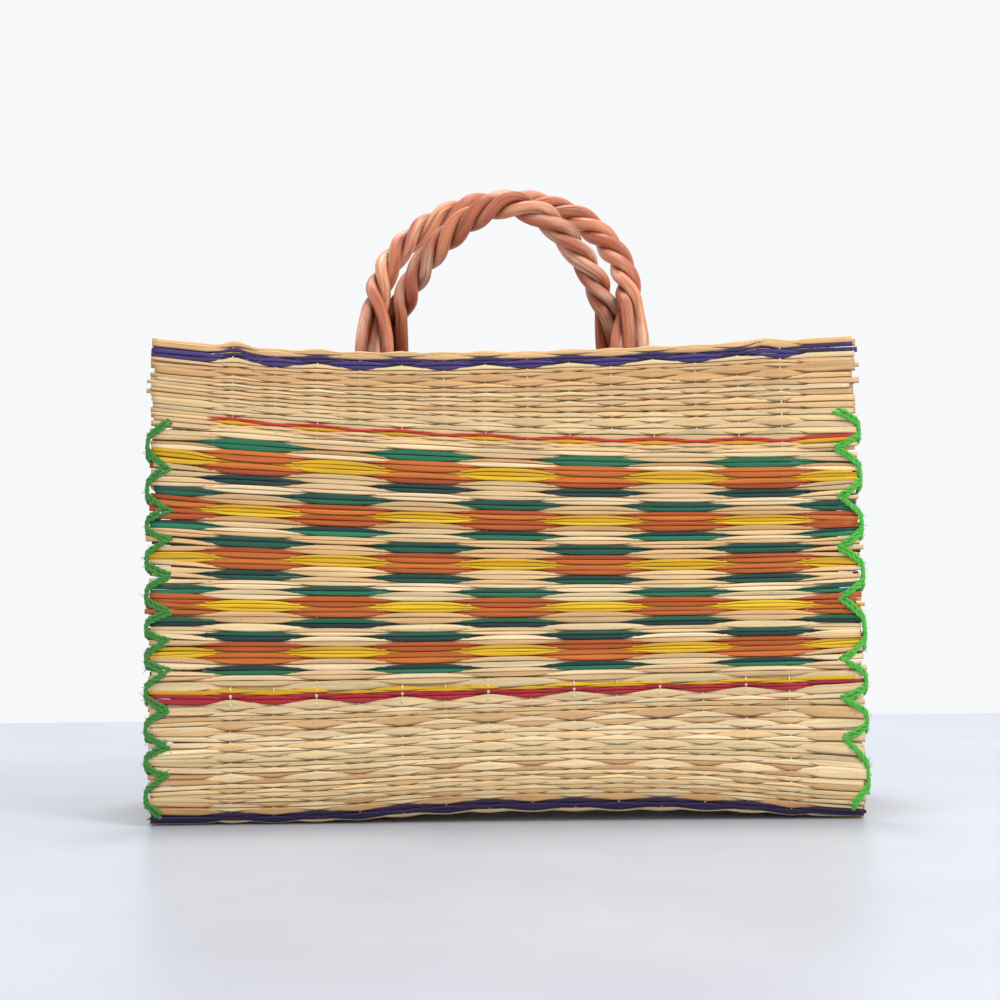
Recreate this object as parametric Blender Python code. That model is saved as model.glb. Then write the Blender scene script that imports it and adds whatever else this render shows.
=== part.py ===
"""Rush basket bag: one woven rush mat folded into a front, base and back, two woven
end panels, and two hoop handles, each twisted from three willow rods whose legs lie
inside the bag under a cord tie.

X runs along the bag's width, the front faces -Y, and Z is up from the table.
"""

import math

import bmesh
import bpy
from mathutils import Matrix, Vector

# The bag's body, in metres
BAG_WIDTH = 0.360
RIM_HEIGHT = 0.241
RIM_SAG = 0.0035
BASE_DEPTH = 0.120
MOUTH_DEPTH_ENDS = 0.072
MOUTH_DEPTH_MIDDLE = 0.040
LEAN_POWER = 1.3
MAT_THICKNESS = 0.003
FOLD_RADIUS = 0.008
MAT_GAP = 0.0004

# The rush ends along the two seams, drawn in where each stitch pulls on them
STITCH_PITCH = 0.0225
STITCH_TOP = 0.207
END_NOTCH = 0.0025
END_BAND = 0.009

# The two end panels
END_PANEL_INSET = 0.010
END_PANEL_DROP = 0.002
END_PANEL_DENT = 0.007
END_PANEL_BELLY = 0.0025
BELLY_TOP_SHARE = 0.62

# The handles
ROD_DIAMETER = 0.0062
ROD_GAP = 0.0003
SLANT_SPREAD = 1.02
TWISTED_SPREAD = 1.046
OPENING_SPREAD = 1.06
TWIST_LENGTH = 0.047
FRONT_HOOP_HALF_WIDTH = 0.0665
FRONT_HOOP_STRAIGHT = 0.027
FRONT_HOOP_RISE = 0.084
BACK_HOOP_RISE = 0.0765
BACK_HOOP_POWER = 0.58
BACK_HOOP_FLARE = 0.010
HOOP_SWAY = 0.005
HOOP_CROSSING_GAP = 0.0012
HOOP_LEAN = math.radians(28.0)
LEAN_EASE = 0.004
LEG_LENGTH = 0.062
UNTWIST_START = 0.024
UNTWIST_END = 0.002

# The cord ties over the handles' legs
TIE_ABOVE_TIP = 0.030
TIE_HEIGHT = 0.013
TIE_WALL = 0.0018
TIE_GAP = 0.0004

# How finely the forms are divided
COLUMNS = (0.0, 0.25, 0.5, 0.75)
ROWS_PER_STITCH = 3
FOLD_STEPS = 4
BASE_STEPS = 4
CORNER_LEVELS = (0.0, 0.25, 0.6)
END_PANEL_ROWS = 12
END_PANEL_COLUMNS = 6
STEPS_PER_TWIST = 11
LEG_STEPS = 4
UNTWIST_STEPS = 6
CENTRE_SAMPLES = 600
TIE_CORNER_STEPS = 3

HALF_WIDTH = BAG_WIDTH / 2
HALF_BASE = BASE_DEPTH / 2
HALF_MAT = MAT_THICKNESS / 2
ROD_RADIUS = ROD_DIAMETER / 2
# Rods that slant round each other stand wider apart than straight ones would
ROD_PITCH = ROD_DIAMETER * SLANT_SPREAD + ROD_GAP
STRAND_RADIUS = ROD_PITCH / math.sqrt(3) * TWISTED_SPREAD
ROPE_DIAMETER = 2 * (STRAND_RADIUS + ROD_RADIUS)


def clear_scene():
    for item in list(bpy.data.objects):
        bpy.data.objects.remove(item, do_unlink=True)


def make_material(name, colour, roughness):
    material = bpy.data.materials.new(name)
    material.use_nodes = True
    shader = material.node_tree.nodes["Principled BSDF"]
    shader.inputs["Base Color"].default_value = (*colour, 1.0)
    shader.inputs["Roughness"].default_value = roughness
    shader.inputs["Metallic"].default_value = 0.0
    return material


def add_object(name, data, material):
    item = bpy.data.objects.new(name, data)
    data.materials.append(material)
    bpy.context.scene.collection.objects.link(item)
    return item


def add_sheet(name, grid, thickness, material):
    """A woven panel: rows of points joined into a sheet, then given its wall thickness."""
    shape = bmesh.new()
    rows = [[shape.verts.new(point) for point in row] for row in grid]
    for lower, upper in zip(rows, rows[1:]):
        for a, b, c, d in zip(lower, lower[1:], upper[1:], upper):
            shape.faces.new((a, b, c, d))
    bmesh.ops.recalc_face_normals(shape, faces=shape.faces)
    mesh = bpy.data.meshes.new(name)
    shape.to_mesh(mesh)
    shape.free()
    mesh.shade_smooth()
    mesh.set_sharp_from_angle(angle=math.radians(40))
    item = add_object(name, mesh, material)
    wall = item.modifiers.new("wall", "SOLIDIFY")
    wall.thickness = thickness
    wall.offset = 0.0
    wall.use_even_offset = True
    return item


def add_slab(name, grid, thickness, material):
    """A woven panel whose wall thickness lies along X, so that its edges keep their place."""
    half = Vector((thickness / 2, 0, 0))
    shape = bmesh.new()
    inner = [[shape.verts.new(point - half) for point in row] for row in grid]
    outer = [[shape.verts.new(point + half) for point in row] for row in grid]
    for rows in (inner, outer):
        for lower, upper in zip(rows, rows[1:]):
            for a, b, c, d in zip(lower, lower[1:], upper[1:], upper):
                shape.faces.new((a, b, c, d))
    for one, other in zip(edge_loop(inner), edge_loop(outer)):
        shape.faces.new((*one, *reversed(other)))
    bmesh.ops.recalc_face_normals(shape, faces=shape.faces)
    mesh = bpy.data.meshes.new(name)
    shape.to_mesh(mesh)
    shape.free()
    mesh.shade_smooth()
    mesh.set_sharp_from_angle(angle=math.radians(40))
    return add_object(name, mesh, material)


def edge_loop(rows):
    """The pairs of neighbouring vertices all round the edge of a grid."""
    around = list(rows[0])
    around += [row[-1] for row in rows[1:]]
    around += rows[-1][-2::-1]
    around += [row[0] for row in rows[-2:0:-1]]
    return list(zip(around, around[1:] + around[:1]))


def bow(x):
    """1 at the middle of the width and 0 at the ends: how much the mouth is pinched there."""
    return 1.0 - (x / HALF_WIDTH) ** 2


def rim_height(x):
    return RIM_HEIGHT - RIM_SAG * bow(x)


def wall_depth(x, z):
    """Distance from the middle plane to the mid surface of the front or back panel."""
    pinch = (MOUTH_DEPTH_ENDS - MOUTH_DEPTH_MIDDLE) / 2 * bow(x)
    fall = HALF_BASE - (MOUTH_DEPTH_ENDS / 2 - pinch)
    share = max(0.0, (z - FOLD_RADIUS) / (RIM_HEIGHT - FOLD_RADIUS))
    return HALF_BASE - HALF_MAT - fall * share**LEAN_POWER


def wall_slope(x, z):
    """How far the panel moves inwards for each metre that it rises."""
    step = 0.001
    return (wall_depth(x, z - step) - wall_depth(x, z + step)) / (2 * step)


def inner_depth(x, z, gap):
    """Distance from the middle plane to the inner face of the panel, less a gap."""
    if z >= FOLD_RADIUS:
        return wall_depth(x, z) - HALF_MAT * math.hypot(1.0, wall_slope(x, z)) - gap
    radius = FOLD_RADIUS - MAT_THICKNESS - gap
    down = min(radius, FOLD_RADIUS - z)
    return HALF_BASE - FOLD_RADIUS + math.sqrt(radius**2 - down**2)


def end_notch(z):
    """How far a stitch draws the rush ends in at this height: most at each stitch."""
    if z > STITCH_TOP:
        return 0.0
    turn = 2 * math.pi * (z - FOLD_RADIUS) / STITCH_PITCH
    return END_NOTCH * (0.5 + 0.5 * math.cos(turn))


def mat_columns(notch):
    """Places across the width, from one end of the rushes to the other."""
    inner = HALF_WIDTH - END_BAND
    right = [share * inner for share in COLUMNS] + [inner, HALF_WIDTH - notch]
    return [-x for x in reversed(right[1:])] + right


def panel_rows(side):
    """Rows of points from the fold up to the rim. side is -1 for the front, 1 for the back."""
    spacing = STITCH_PITCH / ROWS_PER_STITCH
    count = max(2, int((RIM_HEIGHT - FOLD_RADIUS) / spacing))
    rows = []
    for row in range(count + 1):
        share = row / count
        level = FOLD_RADIUS + share * (RIM_HEIGHT - FOLD_RADIUS)
        points = []
        for x in mat_columns(end_notch(level)):
            z = FOLD_RADIUS + share * (rim_height(x) - FOLD_RADIUS)
            points.append(Vector((x, side * wall_depth(x, z), z)))
        rows.append(points)
    return rows


def fold_rows(side):
    """Rows round the fold from the panel down to the base, without its two end rows."""
    radius = FOLD_RADIUS - HALF_MAT
    rows = []
    for step in range(1, FOLD_STEPS):
        turn = math.pi / 2 * step / FOLD_STEPS
        y = side * (HALF_BASE - FOLD_RADIUS + radius * math.cos(turn))
        z = FOLD_RADIUS - radius * math.sin(turn)
        rows.append([Vector((x, y, z)) for x in mat_columns(END_NOTCH)])
    return rows


def base_rows():
    """Rows across the base, from its front edge to its back edge."""
    reach = HALF_BASE - FOLD_RADIUS
    rows = []
    for step in range(BASE_STEPS + 1):
        y = -reach + 2 * reach * step / BASE_STEPS
        rows.append([Vector((x, y, HALF_MAT)) for x in mat_columns(END_NOTCH)])
    return rows


def build_body_mat(material):
    """The one long mat: down the front, under the base and up the back."""
    front = panel_rows(-1)
    back = panel_rows(1)
    grid = front[::-1] + fold_rows(-1) + base_rows() + fold_rows(1)[::-1] + back
    return add_sheet("body_mat", grid, MAT_THICKNESS, material)


def build_end_panel(name, side, material):
    """A tapering panel between the front and back, dented at the top and full below."""
    x_plane = HALF_WIDTH - END_PANEL_INSET - HALF_MAT
    low = MAT_THICKNESS + MAT_GAP
    high = rim_height(x_plane) - END_PANEL_DROP
    corner = [low + (FOLD_RADIUS - low) * share for share in CORNER_LEVELS]
    levels = corner + [
        FOLD_RADIUS + (high - FOLD_RADIUS) * row / END_PANEL_ROWS
        for row in range(END_PANEL_ROWS + 1)
    ]
    grid = []
    for z in levels:
        rise = (z - low) / (high - low)
        reach = inner_depth(x_plane, z, MAT_GAP)
        row = []
        for column in range(END_PANEL_COLUMNS + 1):
            across = 2 * column / END_PANEL_COLUMNS - 1
            arch = 1 - across**2
            dent = END_PANEL_DENT * arch * rise**2
            swell = math.sin(math.pi * min(1.0, rise / BELLY_TOP_SHARE))
            x = x_plane - dent + END_PANEL_BELLY * arch * swell
            row.append(Vector((side * x, across * reach, z)))
        grid.append(row)
    return add_slab(name, grid, MAT_THICKNESS, material)


def leg_depth(x, z):
    """Distance from the middle plane to the centre of a rod that lies on the inner face."""
    return inner_depth(x, z, MAT_GAP + ROD_RADIUS)


def hoop_depth(half_width, rise):
    """The same for the hoop above the rim, where it leans over and crosses the middle."""
    rim = rim_height(half_width)
    slope = wall_slope(half_width, rim)
    eased = rise - LEAN_EASE * (1 - math.exp(-rise / LEAN_EASE))
    lean = math.tan(HOOP_LEAN) - slope
    return leg_depth(half_width, rim) - slope * rise - lean * eased


def front_hoop_reach(rise):
    """Half the front hoop's width: straight legs, then half an ellipse."""
    bend = max(0.0, rise - FRONT_HOOP_STRAIGHT)
    share = min(1.0, bend / (FRONT_HOOP_RISE - FRONT_HOOP_STRAIGHT))
    return FRONT_HOOP_HALF_WIDTH * math.sqrt(1 - share**2)


def back_arch_share(rise):
    """Half the back hoop's arch as a share of its half width at the rim: a pointed arch."""
    share = min(1.0, rise / BACK_HOOP_RISE)
    return (1 - share**2) ** BACK_HOOP_POWER


def back_flare(rise):
    """What the back hoop's legs add to its arch, from nothing at the crown to most at the rim."""
    return BACK_HOOP_FLARE * (1 - min(1.0, rise / BACK_HOOP_RISE))


def sway(rise):
    """Both hoops lean a little to the right as they rise."""
    return HOOP_SWAY * (rise / FRONT_HOOP_RISE) ** 2


def crossing_rise():
    """Height above the rim where the two leaning hoops pass each other."""
    low, high = 0.0, FRONT_HOOP_RISE
    for _ in range(40):
        middle = (low + high) / 2
        if hoop_depth(FRONT_HOOP_HALF_WIDTH, middle) > 0:
            low = middle
        else:
            high = middle
    return low


def back_arch_half_width():
    """The back hoop just passes through the front one, a rope's width inside it."""
    rise = crossing_rise()
    passing = front_hoop_reach(rise) - ROPE_DIAMETER - HOOP_CROSSING_GAP
    return (passing - back_flare(rise)) / back_arch_share(rise)


def hoop_centre(side, half_width, top_rise, reach):
    """Points along a handle's centre line, up its left leg and down its right one."""
    rim = rim_height(half_width)
    left = []
    right = []
    for step in range(LEG_STEPS):
        z = rim - LEG_LENGTH * (1 - step / LEG_STEPS)
        y = side * leg_depth(half_width, z)
        left.append(Vector((-half_width, y, z)))
        right.append(Vector((half_width, y, z)))
    for step in range(CENTRE_SAMPLES + 1):
        rise = top_rise * math.sin(math.pi / 2 * step / CENTRE_SAMPLES)
        y = side * hoop_depth(half_width, rise)
        left.append(Vector((sway(rise) - reach(rise), y, rim + rise)))
        right.append(Vector((sway(rise) + reach(rise), y, rim + rise)))
    return left + right[-2::-1]


def walked_lengths(points):
    lengths = [0.0]
    for a, b in zip(points, points[1:]):
        lengths.append(lengths[-1] + (b - a).length)
    return lengths


def length_at_height(points, lengths, height):
    """How far along the left leg the centre line reaches a height."""
    for (a, b), start in zip(zip(points, points[1:]), lengths):
        if a.z <= height <= b.z:
            return start + (b - a).length * (height - a.z) / (b.z - a.z)
    raise ValueError("the handle does not reach that height")


def frame_at(points, lengths, place):
    """Centre, and the outward and forward directions across the handle, at a length."""
    index = 0
    while index < len(lengths) - 2 and lengths[index + 1] < place:
        index += 1
    a, b = points[index], points[index + 1]
    share = (place - lengths[index]) / (lengths[index + 1] - lengths[index])
    before = points[max(0, index - 1)]
    after = points[min(len(points) - 1, index + 2)]
    along = (after - before).normalized()
    forward = Vector((0, -1, 0))
    forward = (forward - along * forward.dot(along)).normalized()
    return a.lerp(b, share), forward.cross(along), forward


def untwisted_place(role, turn):
    """A rod's outward and forward offset as the rope opens into rods side by side.

    role is 0 for the outer rod, 1 for the front one and 2 for the back one. turn grows
    from 0, where the rope is still closed, to a quarter circle, where the rods lie flat.
    """
    opened = math.sin(turn)
    if role == 0:
        return STRAND_RADIUS + (ROD_PITCH - STRAND_RADIUS) * OPENING_SPREAD * opened, 0.0
    closed_half = STRAND_RADIUS * math.sqrt(3) / 2
    half = closed_half + (ROD_PITCH / 2 - closed_half) * opened
    middle = -STRAND_RADIUS / 2 - (ROD_PITCH - STRAND_RADIUS) / 2 * OPENING_SPREAD * opened
    sign = 1 if role == 1 else -1
    return middle - sign * half * math.sin(turn), sign * half * math.cos(turn)


def twisted_place(angle):
    return STRAND_RADIUS * math.cos(angle), STRAND_RADIUS * math.sin(angle)


def rod_points(rod, points):
    """The path of one of a handle's three rods, from its left end to its right end."""
    lengths = walked_lengths(points)
    total = lengths[-1]
    rim = points[LEG_STEPS].z
    flat = length_at_height(points, lengths, rim + UNTWIST_END)
    closed = length_at_height(points, lengths, rim + UNTWIST_START)
    twisted = total - 2 * closed
    thirds = max(1, round(3 * twisted / TWIST_LENGTH))
    turned = 2 * math.pi * thirds / 3
    places = []
    for step in range(LEG_STEPS):
        places.append((flat * step / LEG_STEPS, rod, math.pi / 2))
    for step in range(UNTWIST_STEPS):
        share = step / UNTWIST_STEPS
        turn = math.pi / 2 * (1 - share)
        places.append((flat + (closed - flat) * share, rod, turn))
    path = []
    for place, role, turn in places:
        path.append((place, untwisted_place(role, turn)))
    steps = max(4, round(STEPS_PER_TWIST * thirds / 3))
    for step in range(steps + 1):
        share = step / steps
        angle = 2 * math.pi * rod / 3 - turned * share
        path.append((closed + twisted * share, twisted_place(angle)))
    last_role = (rod - thirds) % 3
    for place, role, turn in reversed(places):
        mirrored = (0, 2, 1)[last_role]
        outward, forward = untwisted_place(mirrored, turn)
        path.append((total - place, (outward, -forward)))
    return [placed(points, lengths, place, offset) for place, offset in path]


def placed(points, lengths, place, offset):
    centre, outward, forward = frame_at(points, lengths, place)
    return centre + outward * offset[0] + forward * offset[1]


def add_rod(name, path, material):
    curve = bpy.data.curves.new(name, "CURVE")
    curve.dimensions = "3D"
    curve.bevel_depth = ROD_RADIUS
    curve.bevel_resolution = 2
    curve.use_fill_caps = True
    spline = curve.splines.new("POLY")
    spline.points.add(len(path) - 1)
    for point, place in zip(spline.points, path):
        point.co = (*place, 1.0)
    spline.use_smooth = True
    return add_object(name, curve, material)


def build_handle(name, side, half_width, top_rise, reach, material):
    points = hoop_centre(side, half_width, top_rise, reach)
    for rod in range(3):
        add_rod(f"{name}_rod_{rod + 1}", rod_points(rod, points), material)


def tie_outline():
    """Half outline of a tie seen from above, on +X: a band that bridges the three rods."""
    half_span = ROD_PITCH * OPENING_SPREAD + ROD_RADIUS + TIE_GAP
    deep = MAT_GAP + ROD_DIAMETER + TIE_GAP
    corner = ROD_RADIUS
    inner = [(half_span, 0.0)]
    outer = [(half_span + TIE_WALL, 0.0)]
    for step in range(TIE_CORNER_STEPS + 1):
        turn = math.pi / 2 * step / TIE_CORNER_STEPS
        x = half_span - corner + corner * math.cos(turn)
        y = deep - corner + corner * math.sin(turn)
        inner.append((x, y))
        wide = corner + TIE_WALL
        x = half_span - corner + wide * math.cos(turn)
        y = deep - corner + wide * math.sin(turn)
        outer.append((x, y))
    return inner, outer


def build_tie(name, side, x_side, half_width, material):
    """A cord tie over one leg, with its two feet on the mat's inner face."""
    inner, outer = tie_outline()
    loop_inner = inner + [(-x, y) for x, y in reversed(inner)]
    loop_outer = outer + [(-x, y) for x, y in reversed(outer)]
    shape = bmesh.new()
    rings = []
    for height in (-TIE_HEIGHT / 2, TIE_HEIGHT / 2):
        ring_in = [shape.verts.new((x, y, height)) for x, y in loop_inner]
        ring_out = [shape.verts.new((x, y, height)) for x, y in loop_outer]
        rings.append((ring_in, ring_out))
    (low_in, low_out), (high_in, high_out) = rings
    last = len(low_in) - 1
    for i in range(last):
        shape.faces.new((low_in[i], low_in[i + 1], high_in[i + 1], high_in[i]))
        shape.faces.new((low_out[i], low_out[i + 1], high_out[i + 1], high_out[i]))
        shape.faces.new((low_in[i], low_in[i + 1], low_out[i + 1], low_out[i]))
        shape.faces.new((high_in[i], high_in[i + 1], high_out[i + 1], high_out[i]))
    for i in (0, last):
        shape.faces.new((low_in[i], high_in[i], high_out[i], low_out[i]))
    bmesh.ops.recalc_face_normals(shape, faces=shape.faces)
    mesh = bpy.data.meshes.new(name)
    shape.to_mesh(mesh)
    shape.free()
    item = add_object(name, mesh, material)
    x = x_side * half_width
    z = rim_height(half_width) - LEG_LENGTH + TIE_ABOVE_TIP
    item.matrix_world = tie_matrix(side, x, z)
    return item


def tie_matrix(side, x, z):
    """A tie's place: its depth runs from the panel's inner face into the bag."""
    step = 0.001
    face = [
        Vector((px, side * inner_depth(px, pz, MAT_GAP), pz))
        for px, pz in ((x, z), (x + step, z), (x, z + step))
    ]
    across = (face[1] - face[0]).normalized()
    upward = face[2] - face[0]
    upward = (upward - across * upward.dot(across)).normalized()
    inward = upward.cross(across)
    if inward.y * side > 0:
        across = -across
        inward = -inward
    turned = Matrix((across, inward, upward)).transposed()
    return Matrix.Translation(face[0]) @ turned.to_4x4()


def main():
    clear_scene()
    rush = make_material("rush", (0.78, 0.60, 0.35), 0.62)
    end_rush = make_material("end_rush", (0.72, 0.55, 0.32), 0.65)
    willow = make_material("willow", (0.62, 0.27, 0.13), 0.45)
    cord = make_material("cord", (0.80, 0.76, 0.68), 0.85)

    build_body_mat(rush)
    build_end_panel("end_panel_left", -1, end_rush)
    build_end_panel("end_panel_right", 1, end_rush)

    back_arch_half = back_arch_half_width()
    back_half = back_arch_half + BACK_HOOP_FLARE
    build_handle(
        "handle_front",
        -1,
        FRONT_HOOP_HALF_WIDTH,
        FRONT_HOOP_RISE,
        front_hoop_reach,
        willow,
    )
    build_handle(
        "handle_back",
        1,
        back_half,
        BACK_HOOP_RISE,
        lambda rise: back_arch_half * back_arch_share(rise) + back_flare(rise),
        willow,
    )
    for name, side, half in (
        ("front", -1, FRONT_HOOP_HALF_WIDTH),
        ("back", 1, back_half),
    ):
        build_tie(f"handle_tie_{name}_left", side, -1, half, cord)
        build_tie(f"handle_tie_{name}_right", side, 1, half, cord)


main()
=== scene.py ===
# %% [markdown]
# # A woven rush basket bag
# This lesson dresses the plain solids of a small market bag. The real bag is woven from rushes
# that lie side by side across its width, held by thin white strings that run up and down. Every
# rush, string, willow rod and strand of yarn is made here as its own surface, because the eye
# reads the bag through the small shadows between them.

import math
from functools import partial

import bpy
import numpy as np
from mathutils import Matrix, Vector
from mathutils.bvhtree import BVHTree


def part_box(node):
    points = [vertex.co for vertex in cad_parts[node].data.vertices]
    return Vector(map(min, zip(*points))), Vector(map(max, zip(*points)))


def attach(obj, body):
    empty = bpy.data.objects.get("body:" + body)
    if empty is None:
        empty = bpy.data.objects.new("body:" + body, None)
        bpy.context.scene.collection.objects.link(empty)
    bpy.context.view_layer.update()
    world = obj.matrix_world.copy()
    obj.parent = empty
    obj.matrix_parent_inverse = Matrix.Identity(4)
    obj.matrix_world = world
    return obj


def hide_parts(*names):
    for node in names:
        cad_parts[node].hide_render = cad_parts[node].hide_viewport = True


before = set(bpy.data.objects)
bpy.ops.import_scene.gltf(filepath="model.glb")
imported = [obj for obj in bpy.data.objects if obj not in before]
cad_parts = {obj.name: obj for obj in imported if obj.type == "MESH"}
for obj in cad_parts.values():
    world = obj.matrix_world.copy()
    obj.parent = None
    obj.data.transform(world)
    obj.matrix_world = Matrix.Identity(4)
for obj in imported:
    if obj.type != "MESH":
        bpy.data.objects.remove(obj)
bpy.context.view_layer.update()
MM = 0.001
print("solids:", sorted(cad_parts))

# %% [markdown]
# ## Measuring the solid bag
# The front and back lean towards each other and are pinched at the mouth, where the handles pull
# them together. The rushes have to follow that form exactly. The solid's sizes could be written
# down here again, but the two lists might drift apart, so a few rays are cast against the solid
# mat and the form is worked out from where they hit.

# %% The form of the mat
MAT_THICKNESS = 3.0 * MM
FOLD_RADIUS = 8.0 * MM
END_TRIM = 0.25 * MM
BELOW_RIM = 230.0 * MM
RIM_EDGE = 5.0 * MM
NEAR_END = 0.95
body_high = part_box("body_mat")[1]
HALF_WIDTH = body_high[0] - END_TRIM
HALF_BASE = body_high[1]
FOLD_MIDDLE = FOLD_RADIUS - MAT_THICKNESS / 2


def tree_of(node):
    """A search tree over a solid's triangles, for casting rays."""
    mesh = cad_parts[node].data
    corners = [tuple(v.co) for v in mesh.vertices]
    return BVHTree.FromPolygons(corners, [tuple(p.vertices) for p in mesh.polygons])


mat_tree = tree_of("body_mat")


def front_face(x, z):
    """How far the outer face of the front stands from the middle plane."""
    hit = mat_tree.ray_cast(Vector((x, -1, z)), Vector((0, 1, 0)))[0]
    return -hit.y


def rim_at(x):
    """Height of the rim, over the middle of the wall's thickness."""
    wall_middle = -front_face(x, BELOW_RIM) + MAT_THICKNESS / 2
    return mat_tree.ray_cast(Vector((x, wall_middle, 1)), Vector((0, 0, -1)))[0].z


RIM_END = body_high[2]
RIM_MIDDLE = rim_at(0.0)
TOP_LEVEL = RIM_MIDDLE - RIM_EDGE
HALF_LEVEL = (TOP_LEVEL + FOLD_RADIUS) / 2
FALL_MIDDLE = HALF_BASE - front_face(0.0, TOP_LEVEL)
FALL_END = HALF_BASE - front_face(NEAR_END * HALF_WIDTH, TOP_LEVEL)
FALL_HALF_WAY = HALF_BASE - front_face(0.0, HALF_LEVEL)
LEAN_POWER = math.log(FALL_MIDDLE / FALL_HALF_WAY) / math.log(2.0)
PINCH = (FALL_MIDDLE - FALL_END) / NEAR_END**2
print("rim", RIM_MIDDLE, RIM_END, "fall", FALL_MIDDLE, FALL_END, "power", LEAN_POWER)


def wall_depth(x, z):
    """Middle of the mat's wall, from the middle plane. The fall from the base's half depth is a
    power of the height, and the pinch adds to it as a parabola across the width."""
    share = np.clip((z - FOLD_RADIUS) / (TOP_LEVEL - FOLD_RADIUS), 0, None)
    fall = FALL_MIDDLE - PINCH * (x / HALF_WIDTH) ** 2
    return HALF_BASE - MAT_THICKNESS / 2 - fall * share**LEAN_POWER


# %% [markdown]
# ## One strip from rim to rim
# The mat is one piece: down the front, under the base and up the back. It could be three sheets
# joined at the folds, but then each rush near a fold would belong to two of them. So a single
# coordinate w follows the whole strip: w is the height above the fold on the front, turns
# negative under the base, and goes on up the back. Each rush then needs only a w for every x.
# Wear is added to the form as two smooth terms: the base has lifted off the table between its
# ends, and the mat is bent at its last string.

# %% The strip's coordinate
BASE_FLAT = 2 * (HALF_BASE - FOLD_RADIUS)
ARC = math.pi / 2 * FOLD_MIDDLE
BASE_RUN = 2 * ARC + BASE_FLAT
BASE_LIFT = 4.2 * MM
LIFT_CENTRE = 36.0 * MM
LIFT_REACH = 100.0 * MM
LIFT_FADE = 30.0 * MM
CREASE = 1.5 * MM
CREASE_PLACE = 142.3 * MM
CREASE_WIDTH = 9.0 * MM
CREASE_START = 12.0 * MM


def base_lift(x, z):
    """The worn base stands off the table, less and less up the wall: most * exp(-(distance /
    reach)^4), which is a bell with a flat top, times exp(-height / fade)."""
    bell = np.exp(-(np.abs((x - LIFT_CENTRE) / LIFT_REACH) ** 4))
    return BASE_LIFT * bell * np.exp(-np.clip(z - FOLD_RADIUS, 0, None) / LIFT_FADE)


def crease(x, z):
    """The bend at the last string: most * exp(-distance / width) * (1 - exp(-height / start)),
    so there is none at the fold."""
    ridge = np.exp(-np.abs(x - CREASE_PLACE) / CREASE_WIDTH)
    return CREASE * ridge * (1 - np.exp(-(z - FOLD_RADIUS) / CREASE_START))


def strip_point(x, w):
    """Point on the middle of the mat. For w > 0 the front wall at z = fold + w; then a quarter
    circle, the flat base and a second quarter circle; past them the back wall, mirrored."""
    q = -w
    front = q < 0
    back = q > BASE_RUN
    z_wall = FOLD_RADIUS + np.where(front, w, q - BASE_RUN)
    y_wall = (wall_depth(x, z_wall) + crease(x, z_wall)) * np.where(front, -1.0, 1.0)
    first = np.clip(q, 0, ARC) / FOLD_MIDDLE
    last = np.clip(BASE_RUN - q, 0, ARC) / FOLD_MIDDLE
    turn = np.where(q < BASE_RUN / 2, first, last)
    side = np.where(q < BASE_RUN / 2, -1.0, 1.0)
    y_arc = side * (HALF_BASE - FOLD_RADIUS + FOLD_MIDDLE * np.cos(turn))
    flat = (q >= ARC) & (q <= BASE_RUN - ARC)
    y_base = np.where(flat, q - BASE_RUN / 2, y_arc)
    z_base = FOLD_RADIUS - FOLD_MIDDLE * np.sin(turn)
    on_wall = front | back
    z = np.where(on_wall, z_wall, z_base)
    return np.stack([x, np.where(on_wall, y_wall, y_base), z + base_lift(x, z)], -1)


def unit(vectors):
    return vectors / np.linalg.norm(vectors, axis=-1, keepdims=True)


def mat_frame(point, x, w, step=0.4 * MM):
    """The point, the direction down the mat and the outward direction, by differences."""
    down = unit(point(x, w - step) - point(x, w + step))
    along = unit(point(x + step, w) - point(x - step, w))
    return point(x, w), down, unit(np.cross(down, along))


print("strip runs", round(BASE_RUN / MM, 1), "mm under the base")

# %% [markdown]
# ## Many tubes in one mesh
# A rush, a string, a willow rod and a hair of yarn are all tubes. Curves with a bevel could make
# them, but thousands of curves are slow, and a bevel can't be wide here and thin there. So one
# function makes any number of tubes at once: an ellipse is carried along each path, with its
# width across and its thickness outwards. Whole arrays are used, so a hundred thousand points
# take a blink.

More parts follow.
